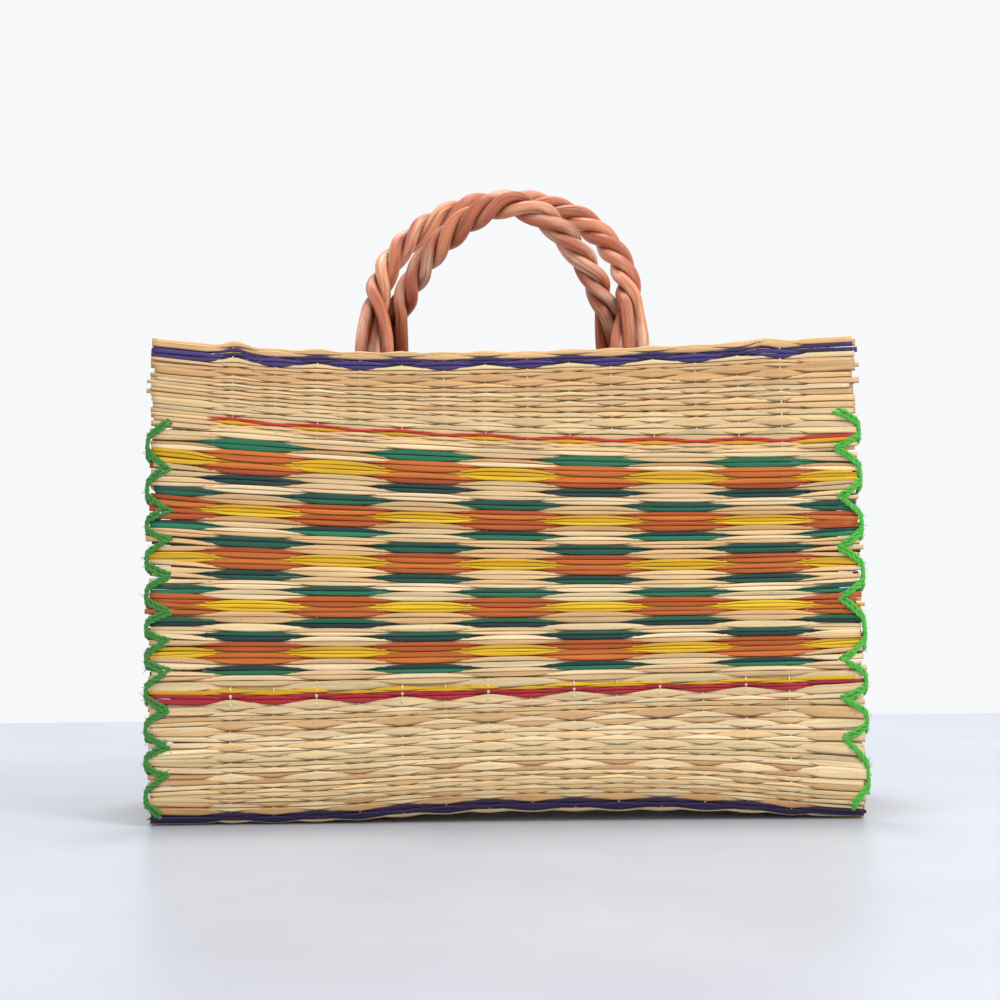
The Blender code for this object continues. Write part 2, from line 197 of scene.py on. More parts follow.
# %% Tubes from arrays
def tubes(name, centre, across, outward, half_width, half_thick, sides, tint, square=1.0):
    """Tubes along centre[n, m]. The ring is centre + c width across + s thick outward, where c
    and s are the cosine and sine raised to the power 1 / square: 1 is an ellipse, and more is a
    flat band with round edges. tint, of one colour a tube or one a point, is stored as a colour,
    and the UV map holds the length along the tube in metres and the share of the way round."""
    count, steps = centre.shape[:2]
    angle = 2 * np.pi * (np.arange(sides) + 0.5) / sides
    cosine, sine = (np.sign(f) * np.abs(f) ** (1 / square) for f in (np.cos(angle), np.sin(angle)))
    ring_x = cosine[None, None, :, None] * half_width[..., None, None]
    ring_y = sine[None, None, :, None] * half_thick[..., None, None]
    points = centre[:, :, None, :] + ring_x * across[:, :, None, :] + ring_y * outward[:, :, None, :]
    order = np.arange(count * steps * sides).reshape(count, steps, sides)
    here, there = order[:, :-1], order[:, 1:]
    quads = np.stack([here, np.roll(here, -1, 2), np.roll(there, -1, 2), there], -1).reshape(-1, 4)
    along = centre[0, 1] - centre[0, 0]
    if np.dot(np.cross(across[0, 0], outward[0, 0]), along) < 0:
        quads = quads[:, ::-1]
        caps = np.concatenate([order[:, 0], order[:, -1, ::-1]])
    else:
        caps = np.concatenate([order[:, 0, ::-1], order[:, -1]])
    loops = np.concatenate([quads.ravel(), caps.ravel()]).astype(np.int32)
    sizes = np.concatenate([np.full(len(quads), 4), np.full(len(caps), sides)])
    mesh = bpy.data.meshes.new(name)
    mesh.vertices.add(order.size)
    mesh.vertices.foreach_set("co", points.astype(np.float32).ravel())
    mesh.loops.add(len(loops))
    mesh.loops.foreach_set("vertex_index", loops)
    mesh.polygons.add(len(sizes))
    starts = np.concatenate([[0], np.cumsum(sizes)[:-1]]).astype(np.int32)
    mesh.polygons.foreach_set("loop_start", starts)
    mesh.update(calc_edges=True)
    length = np.linalg.norm(np.diff(centre, axis=1), axis=-1).cumsum(1)
    length = np.concatenate([np.zeros((count, 1)), length], 1)
    u = np.repeat(length[:, :, None], sides, 2).ravel()[loops]
    v = np.broadcast_to(np.arange(sides) / sides, order.shape).ravel()[loops]
    wrapped = np.zeros(len(loops), bool)
    wrapped[: quads.size] = (quads % sides == 0).ravel() & np.repeat((quads % sides == sides - 1).any(1), 4)
    v = np.where(wrapped, 1.0, v)
    layer = mesh.uv_layers.new(name="along")
    layer.data.foreach_set("uv", np.stack([u, v], -1).astype(np.float32).ravel())
    colour = mesh.color_attributes.new("tint", "FLOAT_COLOR", "POINT")
    tint = tint[:, None, None, :] if tint.ndim == 2 else tint
    spread = np.broadcast_to(tint, (count, steps, sides, 4))
    colour.data.foreach_set("color", spread.astype(np.float32).ravel())
    mesh.shade_smooth()
    mesh.polygons.foreach_set("use_smooth", np.repeat([True, False], [len(quads), len(caps)]))
    piece = bpy.data.objects.new(name, mesh)
    bpy.context.scene.collection.objects.link(piece)
    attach(piece, "root")
    print(name, "tubes", count, "triangles", 2 * len(quads) + (sides - 2) * len(caps))
    return piece


print("a stem of 92 points and 8 sides has", 2 * 91 * 8 + 2 * 6, "triangles")

# %% [markdown]
# ## Dyes and straw
# Dry rush runs from pale cream to tan, and no two stems match. The dyed stems vary less. A
# material could pick a random colour for each object, but the stems share one mesh, so each
# carries its own tint there. Colours are written as they look, 0 to 255, and turned into linear
# light once. The letters: n natural straw, g green, o orange, y yellow, p purple, q dark purple,
# r red and s bright red.

# %% Colours of the stems
PALETTE = {
    "n": ((232, 196, 142), (224, 182, 126), (202, 156, 102), (242, 214, 168), (226, 200, 150)),
    "g": ((10, 52, 48), (16, 86, 66), (22, 124, 82), (14, 40, 44)),
    "o": ((186, 86, 20), (162, 68, 12), (202, 106, 32)),
    "y": ((230, 182, 10), (238, 196, 22), (216, 164, 6)),
    "p": ((70, 52, 122), (58, 42, 102), (46, 36, 80)),
    "q": ((36, 16, 62), (28, 14, 50), (46, 26, 78)),
    "r": ((172, 24, 42), (150, 20, 36)),
    "s": ((212, 50, 40), (196, 42, 36)),
}
STRAW_SPREAD = 0.22
DYE_SPREAD = 0.16
rng = np.random.default_rng(7)


def linear(colour):
    """Linear light of a colour given as 0 to 255, by the standard screen curve."""
    value = np.asarray(colour, float) / 255
    return np.where(value < 0.04045, value / 12.92, ((value + 0.055) / 1.055) ** 2.4)


def one_tint(colour, number=0.5):
    """The same tint for every tube of a mesh, with a number that shifts its streaks."""
    return np.array([[*linear(colour), number]])


def stem_tint(dye):
    """One stem's colour: two of its palette's colours blended, with a random number in alpha."""
    first, second = rng.choice(len(PALETTE[dye]), 2)
    share = rng.random()
    mixed = linear(PALETTE[dye][first]) * share + linear(PALETTE[dye][second]) * (1 - share)
    shade = 1 + (rng.random() - 0.5) * (STRAW_SPREAD if dye == "n" else DYE_SPREAD)
    return (*(mixed * shade), rng.random())


print("a straw tint", np.round(stem_tint("n"), 3))

# %% [markdown]
# ## How the weave works
# Each row is a small bundle of stems. At one string it lies in front, at the next it is drawn
# behind, and its neighbours do the opposite. In the plain bands a bundle changes sides at every
# string, which makes the lens shapes. In the coloured band it changes at every second string,
# which makes the long lozenges. Each bundle could be bent by hand, but a rule is shorter and no
# two bundles meet: a single number f says where a bundle is, 1 in front and -1 behind. Where f
# passes 0 the bundles of both kinds share the height, so each is squeezed to half. The lozenges
# have sharp tips, so their stems get more points there.

# %% Strings and sides
STRINGS = 14
STRING_PITCH = 21.6 * MM
FIRST_STRING = -138.5 * MM
string_x = FIRST_STRING + STRING_PITCH * np.arange(STRINGS)
FREE_RATE = 1.5
LENS_SHARPNESS = 0.97
BLOCK_FLATNESS = 1.8
CROSSING_WIDTH = 6.0 * MM
CROSSING_DENSITY = 3
FINE_STEPS = 4000


def past_ends(i, strings):
    """Past the last string the bundles change places once more, quickly, and then stay: i runs
    on at FREE_RATE for one unit."""
    low = -np.clip(-i * FREE_RATE, 0, 1)
    high = np.clip((i - (strings - 1)) * FREE_RATE, 0, 1)
    return np.where(i < 0, low, np.where(i > strings - 1, strings - 1 + high, i))


def side_plain(i, strings):
    """A wave of nearly straight flanks: asin(s cos(pi i)) / asin(s)."""
    wave = np.cos(np.pi * past_ends(i, strings))
    return np.arcsin(LENS_SHARPNESS * wave) / math.asin(LENS_SHARPNESS)


def side_block(i, strings):
    """A wave of flat tops, half as often: tanh(k cos(pi (i - 1/2) / 2)) / tanh(k)."""
    i = np.clip(i, -1.5, strings + 0.5)
    return np.tanh(BLOCK_FLATNESS * np.cos(np.pi * (i - 0.5) / 2)) / math.tanh(BLOCK_FLATNESS)


def crossings_first(mat, steps):
    """Shares of the way across for a lozenge's points, up to four times as close where it
    changes sides: density = 1 + 3 exp(-(distance / width)^2), summed and inverted."""
    fine = np.linspace(0, 1, FINE_STEPS)
    i = ((2 * fine - 1) * HALF_WIDTH - mat.first) / mat.pitch
    distance = np.abs((i - 0.5) % 2 - 1) * mat.pitch
    density = 1 + CROSSING_DENSITY * np.exp(-((distance / CROSSING_WIDTH) ** 2))
    total = np.cumsum(density)
    return np.interp(np.linspace(total[0], total[-1], steps), total, fine)


print("strings from", round(string_x[0] / MM), "to", round(string_x[-1] / MM))

# %% [markdown]
# ## The rows of the front
# The rows are listed from the rim down. A pair holds the bundle that lies over the even strings
# and the one over the odd strings, each with a letter for every stem and its share of the height.
# The coloured band repeats nine bundles. Its two kinds of bundle are half a repeat apart, so the
# tip of a yellow lozenge goes in between two orange ones. A picture could give all this, but a
# chart says it as a weaver would. The bands slope a little, as on any hand-made mat, so each
# level has its height at five places across the width.

# %% The chart of the front
REPEAT = (
    ("gg", 1.05), ("oo", 1.0), ("oo", 1.0), ("gg", 1.0), ("nn", 0.85),
    ("nn", 0.85), ("yyy", 1.2), ("nn", 1.1), ("nn", 0.9),
)
PLAIN = (("nn", 1.0), ("nn", 1.0))
BLOCK_PAIRS = 23
EVEN_START = -1
ODD_START = 4


def repeated(start):
    """The repeat's bundles from row start on, as many as the coloured band has."""
    return [REPEAT[(start + i) % len(REPEAT)] for i in range(BLOCK_PAIRS)]


BANDS = (
    ("rim", "plain", [(("n", 0.8), ("n", 0.8)), (("pp", 0.9), ("pp", 1.3)), PLAIN]),
    ("upper", "plain", [PLAIN] * 6),
    ("upper_line", "plain", [(("s", 0.8), ("s", 0.7)), (("y", 1.0), ("n", 0.9)), (("n", 1.0), ("n", 1.0))]),
    ("blocks", "block", [*zip(repeated(EVEN_START), repeated(ODD_START)), PLAIN]),
    ("lower_line", "plain", [(("y", 0.5), ("y", 0.6)), (("r", 0.3), ("rr", 1.4)), (("n", 1.2), ("n", 0.9))]),
    ("lower", "plain", [PLAIN] * 8),
    ("foot", "plain", [PLAIN, PLAIN, (("qq", 1.0), ("qqq", 1.3)), (("n", 0.8), ("n", 0.7))]),
)
STATIONS = np.array([-136.0, -51.0, -1.0, 99.0, 141.0]) * MM
LEVELS = {
    "rim_top": (241.8, 238.2, 238.0, 240.4, 241.8),
    "rim_foot": (229.4, 225.8, 225.6, 228.0, 229.0),
    "upper_foot": (204.4, 197.6, 194.8, 192.2, 192.0),
    "line_foot": (198.0, 191.6, 188.6, 185.6, 185.4),
    "blocks_foot": (67.6, 67.6, 67.8, 69.4, 70.2),
    "lower_line_foot": (55.4, 56.4, 57.8, 60.0, 61.0),
    "lower_foot": (14.8, 16.6, 16.8, 16.2, 14.0),
    "foot_end": (-1.6, -1.2, -1.0, -1.0, -1.6),
}


def level(name, x):
    """Height of a level as w across the width: a cubic through the five stations."""
    curve = np.polynomial.Polynomial.fit(STATIONS, np.array(LEVELS[name]), 3)
    return curve(np.clip(x, -HALF_WIDTH, HALF_WIDTH)) * MM - FOLD_RADIUS


def on_back(edge):
    """An edge of the front at the same height on the back."""
    return lambda x: -BASE_RUN - edge(x)


front_edges = [partial(level, name) for name in LEVELS]
base_edges = [front_edges[-1], on_back(front_edges[-1])]
back_edges = [on_back(edge) for edge in reversed(front_edges)]
band_names = [name for name, _, _ in BANDS]
UPPER_LINE, BLOCKS, LOWER_LINE = (band_names.index(name) for name in ("upper_line", "blocks", "lower_line"))
print("bands", band_names)

# %% [markdown]
# ## Stacking the bundles
# In front, the bundles of one kind fill the whole height of a band; behind, those of the other
# kind do. Halfway between, both take turns. So each bundle has two places in its band, one of its
# own layer and one where the two kinds alternate, and the rush moves from one to the other. Each
# stem could be an object with its own values, but one row of a table is quicker to work with.

# %% A table of stems
BAND, KIND, BLOCK, OWN, MIXED, SHARE, MIDDLE, PART, NUMBER, COUNT = range(10)
TINT = slice(10, 14)
EVENING = 0.35
UNEVEN = 0.18
SINGLE = 0.2
SINGLE_BLOCK = 0.12


def uneven(shape):
    """Random sizes about 1."""
    return rng.uniform(1 - UNEVEN, 1 + UNEVEN, shape)


def stack(bands, reverse=False):
    """One row for each stem: band, kind, whether it is a block, place in its layer, place where
    the kinds alternate, the bundle's height, the stem's middle and share in the bundle, its
    number, how many stems the bundle has, and its tint. Facing bundles even out their heights by
    the share EVENING, and each kind's stack is moved as a whole so that its stems stay as
    straight as they can. Some pairs of plain stems are one wide flat stem."""
    rows = []
    for band, (_, pattern, pairs) in enumerate(bands):
        pairs = pairs[::-1] if reverse else pairs
        block = pattern == "block"
        single = SINGLE_BLOCK if block else SINGLE
        weights = np.array([[height for _, height in pair] for pair in pairs])
        weights = weights * uneven(weights.shape)
        weights = weights * (1 - EVENING) + weights.mean(1, keepdims=True) * EVENING
        share = weights / weights.sum(0)
        own = np.cumsum(share, 0) - share / 2
        turns = (share / 2).ravel()
        mixed = (np.cumsum(turns) - turns / 2).reshape(-1, 2)
        own = own - (own - mixed).mean(0)
        for p, pair in enumerate(pairs):
            for kind, (bundle, _) in enumerate(pair):
                bundle = bundle[::-1] if reverse else bundle
                bundle = "n" if bundle == "nn" and rng.random() < single else bundle
                parts = uneven(len(bundle))
                parts = parts / parts.sum()
                middle = np.cumsum(parts) - parts / 2 - 0.5
                for j, dye in enumerate(bundle):
                    place = (own[p, kind], mixed[p, kind], share[p, kind], middle[j], parts[j])
                    rows.append((band, kind, block, *place, j, len(bundle), *stem_tint(dye)))
    return np.array(rows)


front_stems = stack(BANDS)
print("stems in the front", len(front_stems))

# %% [markdown]
# ## Ends of the rushes
# Past the last strings the stems lie free. Green yarn sews them to the end panels: it bites in
# between the stems every few centimetres and draws each cluster together, so the cut ends stand
# in tufts with small gaps where the yarn goes in. The strings lift the rim a little where they
# turn over it. Moving each stem by hand would take hundreds of values, so two smooth fields of x
# and w push them all.

# %% The stitches and the tufts
RIGHT_BITES = np.array([4.0, 39.5, 59.0, 78.5, 110.0, 135.5, 160.0, 185.5, 205.0]) * MM
LEFT_BITES = np.array([4.0, 24.0, 39.0, 57.0, 76.0, 91.0, 106.0, 124.0, 142.0, 158.0, 179.0, 202.5]) * MM
TUFT_PUSH = 1.1 * MM
TUFT_RUN = 38.0 * MM
TUFT_POWER = 1.5
ABOVE_LAST_BITE = 4.0 * MM
RIM_BUMPS = ((-136.5 * MM, 2.4 * MM), (134.0 * MM, 2.0 * MM), (-94.0 * MM, 0.7 * MM))
BUMP_WIDTH = 7.0 * MM
BUMP_FADE = 9.0 * MM


def wall_height(w):
    """Height over the table at w, alike on the front and the back."""
    return np.abs(w + BASE_RUN / 2) - BASE_RUN / 2 + FOLD_RADIUS


def past_strings(x, first, last):
    """How far x lies beyond the first or the last string, and 0 between them."""
    return np.clip(np.abs(x - (first + last) / 2) - (last - first) / 2, 0, None)


def rim_bumps(x, w):
    """Tight strings lift the rim: bells across the width, each with its place and size, times
    exp(-distance below the rim / fade)."""
    below = np.clip(RIM_END - wall_height(w), 0, None)
    bells = sum(size * np.exp(-(((x - place) / BUMP_WIDTH) ** 2)) for place, size in RIM_BUMPS)
    return bells * np.exp(-below / BUMP_FADE) * np.where(w > -BASE_RUN / 2, 1, -1)


def tufting(x, w):
    """How far a free end is pushed away from the nearest stitch: a sine between the bites, times
    (distance past the last string / run)^1.5, and the rim's bumps."""
    height = np.clip(wall_height(w), RIGHT_BITES[0], None)
    right, left = (np.interp(height, bites, np.arange(len(bites))) for bites in (RIGHT_BITES, LEFT_BITES))
    wave = np.sin(2 * np.pi * np.where(x > 0, right, left))
    free = np.clip(past_strings(x, string_x[0], string_x[-1]) / TUFT_RUN, 0, 1)
    sewn = height < RIGHT_BITES[-1] + ABOVE_LAST_BITE
    return TUFT_PUSH * wave * free**TUFT_POWER * sewn + rim_bumps(x, w)


print("stitches at the right and left", len(RIGHT_BITES), len(LEFT_BITES))

# %% [markdown]
# ## Weaving
# Every stem is now a path: x runs across the bag, w says how high it lies, and the lift says how
# far in front of or behind the middle of the mat it is. A cloth simulation could press the stems
# together, but it is slow and never repeats, so their forms follow from f. Small slow waves keep
# the rows from looking ruled.

# %% The path of each stem
LAYER = 0.74 * MM
STEM_THICK = 0.66 * MM
FLATNESS = 1.7
STRAIGHTENING = 0.42
SQUEEZED_WIDTH = 0.46
SQUEEZED_THICKNESS = 0.94
OVERLAP = 1.01
STAGGER = 0.3
ROW_WAVE = 0.3 * MM
FREE_RUN = 40.0 * MM
FREE_DRIFT = 0.35 * MM
FREE_LIFT = 0.25 * MM
STEM_LIFT = 0.06 * MM
BODY_SEED = 11


def slow_waves(x, w, seed, size):
    """A smooth uneven field: the mean of four sine waves of random direction and phase."""
    local = np.random.default_rng(seed)
    total = 0.0
    for _ in range(4):
        kx, kw = local.uniform(15, 70), local.uniform(60, 260)
        total = total + np.sin(kx * x + kw * w + local.uniform(0, 6.3))
    return total * size / 4


class Mat:
    """A woven piece: its surface point(x, w), its strings, and how its free ends are pushed."""

    def __init__(self, point, first, pitch, strings, push):
        self.point, self.first, self.pitch, self.strings, self.push = point, first, pitch, strings, push
        self.last = first + pitch * (strings - 1)


def weave(mat, stems, edges, steps, ends, seed):
    """Centre, frame and half sizes of every stem. Band b lies between the edges b and b + 1,
    which are functions of x, and ends is how far each stem reaches to the left and right. The
    place goes from the mixed one to its own with f^2, the height is squeezed to half where f is
    0, and lift = layer * f."""
    band, kind, block, own, mixed, share, middle, part, number, count = stems[:, : TINT.start].T
    block = block[:, None] > 0
    t = np.where(block, crossings_first(mat, steps), np.linspace(0, 1, steps))
    x = -ends[:, :1] + (ends[:, 1:] + ends[:, :1]) * t
    i = (x - mat.first) / mat.pitch
    side = np.where(block, side_block(i, mat.strings), side_plain(i, mat.strings))
    side = side * np.where(kind[:, None] > 0, -1, 1)
    firm = np.abs(side)
    place = mixed[:, None] + STRAIGHTENING * (own - mixed)[:, None] * firm**2
    top, foot = np.zeros_like(x), np.zeros_like(x)
    for b in range(int(band.max()) + 1):
        top[band == b] = edges[b](x[band == b])
        foot[band == b] = edges[b + 1](x[band == b])
    height = (top - foot) * share[:, None]
    w = top - (top - foot) * place - height * (0.5 + 0.5 * firm) * middle[:, None]
    local = np.random.default_rng(seed)
    each = (len(stems), 1)
    free = past_strings(x, mat.first, mat.last) / FREE_RUN
    drift = local.normal(0, FREE_DRIFT, each) * free
    w = w + slow_waves(x, w, seed, ROW_WAVE) + mat.push(x, w) + drift
    turn = np.where(count > 1, np.where(number % 2 == 0, 1, -1), 0)[:, None]
    stagger = turn * (1 - firm) * STAGGER * STEM_THICK
    lift = LAYER * side + stagger + local.normal(0, FREE_LIFT, each) * free + local.normal(0, STEM_LIFT, each)
    width = height * part[:, None] * 0.5 * (SQUEEZED_WIDTH + (1 - SQUEEZED_WIDTH) * firm) * OVERLAP
    width = width * (1 + 0.06 * np.sin(x * local.uniform(60, 240, each) + 40 * own[:, None]))
    thick = STEM_THICK * (SQUEEZED_THICKNESS + (1 - SQUEEZED_THICKNESS) * firm)
    thick = thick * local.uniform(0.9, 1.06, each)
    point, down, outward = mat_frame(mat.point, x, w)
    return point + outward * lift[..., None], down, outward, width, thick


body = Mat(strip_point, FIRST_STRING, STRING_PITCH, STRINGS, tufting)
print("the body's last string is at", round(body.last / MM, 1))

# %% [markdown]
# ## The front
# The front's stems are cut a little rough at both sides, and a few stick out. The red line under
# the plain band ends short at the left, where a straw stem goes on in its place. Cutting the red
# stem there would leave a slit, so it changes its tint instead. The front is made as two meshes,
# because one would have too many triangles.

# %% The front's stems
FRONT_STEPS = 92
RAGGEDNESS = 1.4 * MM
STICK_OUT = 2.0 * MM
STICK_OUT_FROM = 0.96
RED_START = 148.0 * MM
RED_PLACE = 0.28
HALF_PLACE = 0.42


def reach(stems, seed):
    """Half lengths of the stems to the left and right: the bag's half width, cut a little rough,
    with a few that stick out."""
    local = np.random.default_rng(seed)
    rough = np.abs(local.normal(0.3 * MM, RAGGEDNESS, (len(stems), 2)))
    return HALF_WIDTH - rough + STICK_OUT * (local.random((len(stems), 2)) > STICK_OUT_FROM)


front = weave(body, front_stems, front_edges, FRONT_STEPS, reach(front_stems, 1), BODY_SEED)
front_band = front_stems[:, BAND]
red = (front_band == UPPER_LINE) & (front_stems[:, MIXED] < RED_PLACE)
front_tint = np.repeat(front_stems[:, None, None, TINT], FRONT_STEPS, 1)
front_tint[red[:, None] & (front[0][..., 0] < -RED_START)] = one_tint(PALETTE["n"][0])
upper_half = (front_band < BLOCKS) | ((front_band == BLOCKS) & (front_stems[:, OWN] < HALF_PLACE))
pieces = {}
for name, chosen in (("front_reeds_upper", upper_half), ("front_reeds_lower", ~upper_half)):
    pieces[name] = tubes(name, *[part[chosen] for part in front], 8, front_tint[chosen], FLATNESS)

# %% [markdown]
# ## The base and the back
# Under the base the weave is plain straw, and it climbs the back with the same chart, upside
# down in w because the strip goes on without a break. A mirrored copy of the front would repeat
# its every stem, so the back is woven afresh. These faces are seen less, so their stems have
# fewer points.

# %% Base and back
BASE_PAIRS = 22
HIDDEN_STEPS = 60
base_stems = stack((("base", "plain", [PLAIN] * BASE_PAIRS),))
base = weave(body, base_stems, base_edges, HIDDEN_STEPS, reach(base_stems, 2), BODY_SEED + 1)
pieces["base_reeds"] = tubes("base_reeds", *base, 6, base_stems[:, TINT], FLATNESS)
back_stems = stack(BANDS[::-1], reverse=True)
back = weave(body, back_stems, back_edges, HIDDEN_STEPS, reach(back_stems, 3), BODY_SEED + 2)
pieces["back_reeds"] = tubes("back_reeds", *back, 6, back_stems[:, TINT], FLATNESS)

# %% [markdown]
# ## Shader sums in Python
# Materials are easier to read as sums than as pictures of wires. Nodes could be placed one by one
# in the shader editor; here a small class wraps a socket and turns + and * into Math nodes, and
# every other node comes from one method.

# %% The material helper
class Wire:
    """A socket that can be used in sums."""

    def __init__(self, finish, socket):
        self.finish = finish
        self.socket = socket

    def _math(self, operation, other):
        return self.finish.node("ShaderNodeMath", {"operation": operation}, {0: self, 1: other})

    def __add__(self, other):
        return self._math("ADD", other)

    def __mul__(self, other):
        return self._math("MULTIPLY", other)

    __radd__ = __add__
    __rmul__ = __mul__


class Finish:
    """A material with a Principled shader, and the nodes that feed it."""

    def __init__(self, name):
        self.material = bpy.data.materials.new(name)
        self.material.use_nodes = True
        self.tree = self.material.node_tree
        self.shader = self.tree.nodes["Principled BSDF"]

    def node(self, kind, settings=None, inputs=None, output=0):
        made = self.tree.nodes.new(kind)
        for key, value in (settings or {}).items():
            if key == "stops":
                ramp = made.color_ramp.elements
                while len(ramp) < len(value):
                    ramp.new(0.5)
                for stop, (position, colour) in zip(ramp, value):
                    stop.position = position
                    stop.color = (*colour, 1.0)
            else:
                setattr(made, key, value)
        for key, value in (inputs or {}).items():
            self.feed(made.inputs[key], value)
        return Wire(self, made.outputs[output])

    def feed(self, socket, value):
        if isinstance(value, Wire):
            self.tree.links.new(value.socket, socket)
        else:
            socket.default_value = value

    def mix(self, kind, factor, first, second):
        """Two colours mixed or multiplied."""
        settings = {"data_type": "RGBA", "blend_type": kind}
        return self.node("ShaderNodeMix", settings, {0: factor, 6: first, 7: second}, 2)

    def noise(self, vector, scale, detail, rough):
        inputs = {"Vector": vector, "Scale": scale, "Detail": detail, "Roughness": rough}
        return self.node("ShaderNodeTexNoise", {}, inputs)

    def streaks(self, along, round_it, detail, rough):
        """Noise on the piece's own UV map, with so many cells per metre along and round it. The
        random number in the tint's alpha moves it, so that no two stems look the same."""
        uv = self.node("ShaderNodeUVMap", {"uv_map": "along"})
        seed = self.node("ShaderNodeAttribute", {"attribute_name": "tint"}, output=3)
        size = (along, round_it, 1.0)
        scaled = self.node("ShaderNodeVectorMath", {"operation": "MULTIPLY"}, {0: uv, 1: size})
        offset = self.node("ShaderNodeCombineXYZ", {}, {0: seed * 37.0, 1: seed * 91.0, 2: seed * 53.0})
        place = self.node("ShaderNodeVectorMath", {"operation": "ADD"}, {0: scaled, 1: offset})
        return self.noise(place, 1.0, detail, rough)

    def dyed(self, bright):
        """The stem's own tint times a brightness."""
        tint = self.node("ShaderNodeAttribute", {"attribute_name": "tint"})
        grey = self.node("ShaderNodeCombineColor", {}, {0: bright, 1: bright, 2: bright})
        return self.mix("MULTIPLY", 1.0, tint, grey)

    def rising(self, value, low, high, most):
        """0 where the value is at low, most where it is at high, and straight in between."""
        inputs = {"Value": value, "From Min": low, "From Max": high, "To Max": most}
        return self.node("ShaderNodeMapRange", {}, inputs)

    def bump(self, height, depth):
        inputs = {"Strength": 0.8, "Distance": depth, "Height": height}
        return self.node("ShaderNodeBump", {}, inputs)

    def set(self, **sockets):
        for key, value in sockets.items():
            self.feed(self.shader.inputs[key.replace("_", " ")], value)


print("materials so far:", len(bpy.data.materials))

# %% [markdown]
# ## Dry rush
# A rush stem is a soft pith inside a thin smooth skin. The skin has fine lengthwise lines, patches
# of paler and browner straw along it, small dark flecks, and a faint gloss. Dyed stems show the
# same lines through the dye. Towards its two edges each stem is painted browner: partly dirt, and
# partly painted shade for the gaps between stems. A photograph of rush could be laid over the
# stems, but noise stretched along each stem follows its bends and never repeats.

# %% The rush finish
SKIN_LINES = 0.22 * MM
FLECK_BROWN = (0.16, 0.07, 0.025, 1.0)
# Brown mixed in at each stem's edges: dirt, and painted shade for the gaps between stems.
GAP_DIRT_AND_SHADE = (0.30, 0.19, 0.12, 1.0)


def rush_finish():
    """tint * (lines and patches), with flecks, and browner towards the stem's two edges, for dirt
    and painted shade: edge = |cos(2 pi v)|^8, where v is the share of the way round."""
    finish = Finish("dry_rush")
    lines = finish.streaks(16.0, 13.0, 4.0, 0.65)
    patches = finish.streaks(28.0, 1.2, 3.0, 0.6)
    flecks = finish.streaks(420.0, 7.0, 2.0, 0.5)
    colour = finish.dyed(0.10 + lines * 1.36 + patches * 0.42)
    colour = finish.mix("MIX", finish.rising(flecks, 0.68, 0.8, 0.5), colour, FLECK_BROWN)
    # Painted shade with some dirt: the straw is browned towards each stem's two edges, where the gaps are.
    uv = finish.node("ShaderNodeUVMap", {"uv_map": "along"})
    v = finish.node("ShaderNodeSeparateXYZ", {}, {0: uv}, 1)
    wave = finish.node("ShaderNodeMath", {"operation": "COSINE"}, {0: v * (2 * math.pi)})
    edge = finish.node("ShaderNodeMath", {"operation": "POWER"}, {0: wave * wave, 1: 4.0})
    dirt_and_shade = finish.mix("MULTIPLY", 1.0, colour, GAP_DIRT_AND_SHADE)
    colour = finish.mix("MIX", edge * 0.9, colour, dirt_and_shade)
    bump = finish.bump(lines + patches * 0.6, SKIN_LINES)
    finish.set(Base_Color=colour, Roughness=0.32 + lines * 0.2, Normal=bump, Specular_IOR_Level=0.45)
    return finish.material


rush = rush_finish()
for piece in pieces.values():
    piece.data.materials.append(rush)
    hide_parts("body_mat")
print("rush on", len(pieces), "pieces")

# %% [markdown]
# ## The end panels
# Each end is closed by a narrow mat of its own. It tapers with the bag, swells a little at the
# foot and is pushed in at the mouth. The solid could be bent and given a woven picture, but it is
# woven in the same way as the body, so the same function serves: only the surface differs.

# %% The end panel's surface
MAT_GAP = 0.4 * MM
END_DENT = 7.0 * MM
END_BELLY = 2.5 * MM
BELLY_TOP_SHARE = 0.62
OVER_FOLD = 1.0 * MM


def wall_slope(x, z, step=0.2 * MM):
    """How fast the wall comes in with the height."""
    return (wall_depth(x, z - step) - wall_depth(x, z + step)) / (2 * step)


def inner_depth(x, z, gap):
    """The inner face of the front or back, from the middle plane, less a gap."""
    slope = wall_slope(x, np.maximum(z, FOLD_RADIUS + OVER_FOLD))
    return wall_depth(x, z) - MAT_THICKNESS / 2 * np.hypot(1, slope) - gap


panel_low, panel_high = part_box("end_panel_right")
PANEL_PLANE = panel_high[0] - MAT_THICKNESS / 2 - END_BELLY
PANEL_FOOT = panel_low[2]
PANEL_TOP = panel_high[2]
FOOT_REACH = float(inner_depth(PANEL_PLANE, FOLD_RADIUS, MAT_GAP))


def panel_surface(side):
    """A function of s, the place along a rush, and z. The panel's half depth narrows as the bag
    does, and x is the plane less dent times (1 - across^2) rise^2, plus the belly."""

    def point(s, z):
        across = s / FOOT_REACH
        rise = np.clip((z - PANEL_FOOT) / (PANEL_TOP - PANEL_FOOT), 0, 1)
        arch = 1 - across**2
        swell = np.sin(np.pi * np.clip(rise / BELLY_TOP_SHARE, 0, 1))
        x = PANEL_PLANE - END_DENT * arch * rise**2 + END_BELLY * arch * swell
        narrow = inner_depth(PANEL_PLANE, z, MAT_GAP) / FOOT_REACH
        return np.stack([side * x, side * s * narrow, z + 0 * s], -1)

    return point


END_STRINGS = 5
END_STRING_PITCH = 21.0 * MM
END_STEPS = 34
END_RAGGEDNESS = 1.2 * MM
END_BANDS = (BANDS[0], ("field", "plain", [PLAIN] * 40))
END_RIM = 12.5 * MM


def flat_edge(z):
    """An edge at one height all the way across."""
    return lambda s: z + 0 * s


def no_push(s, z):
    return 0 * s


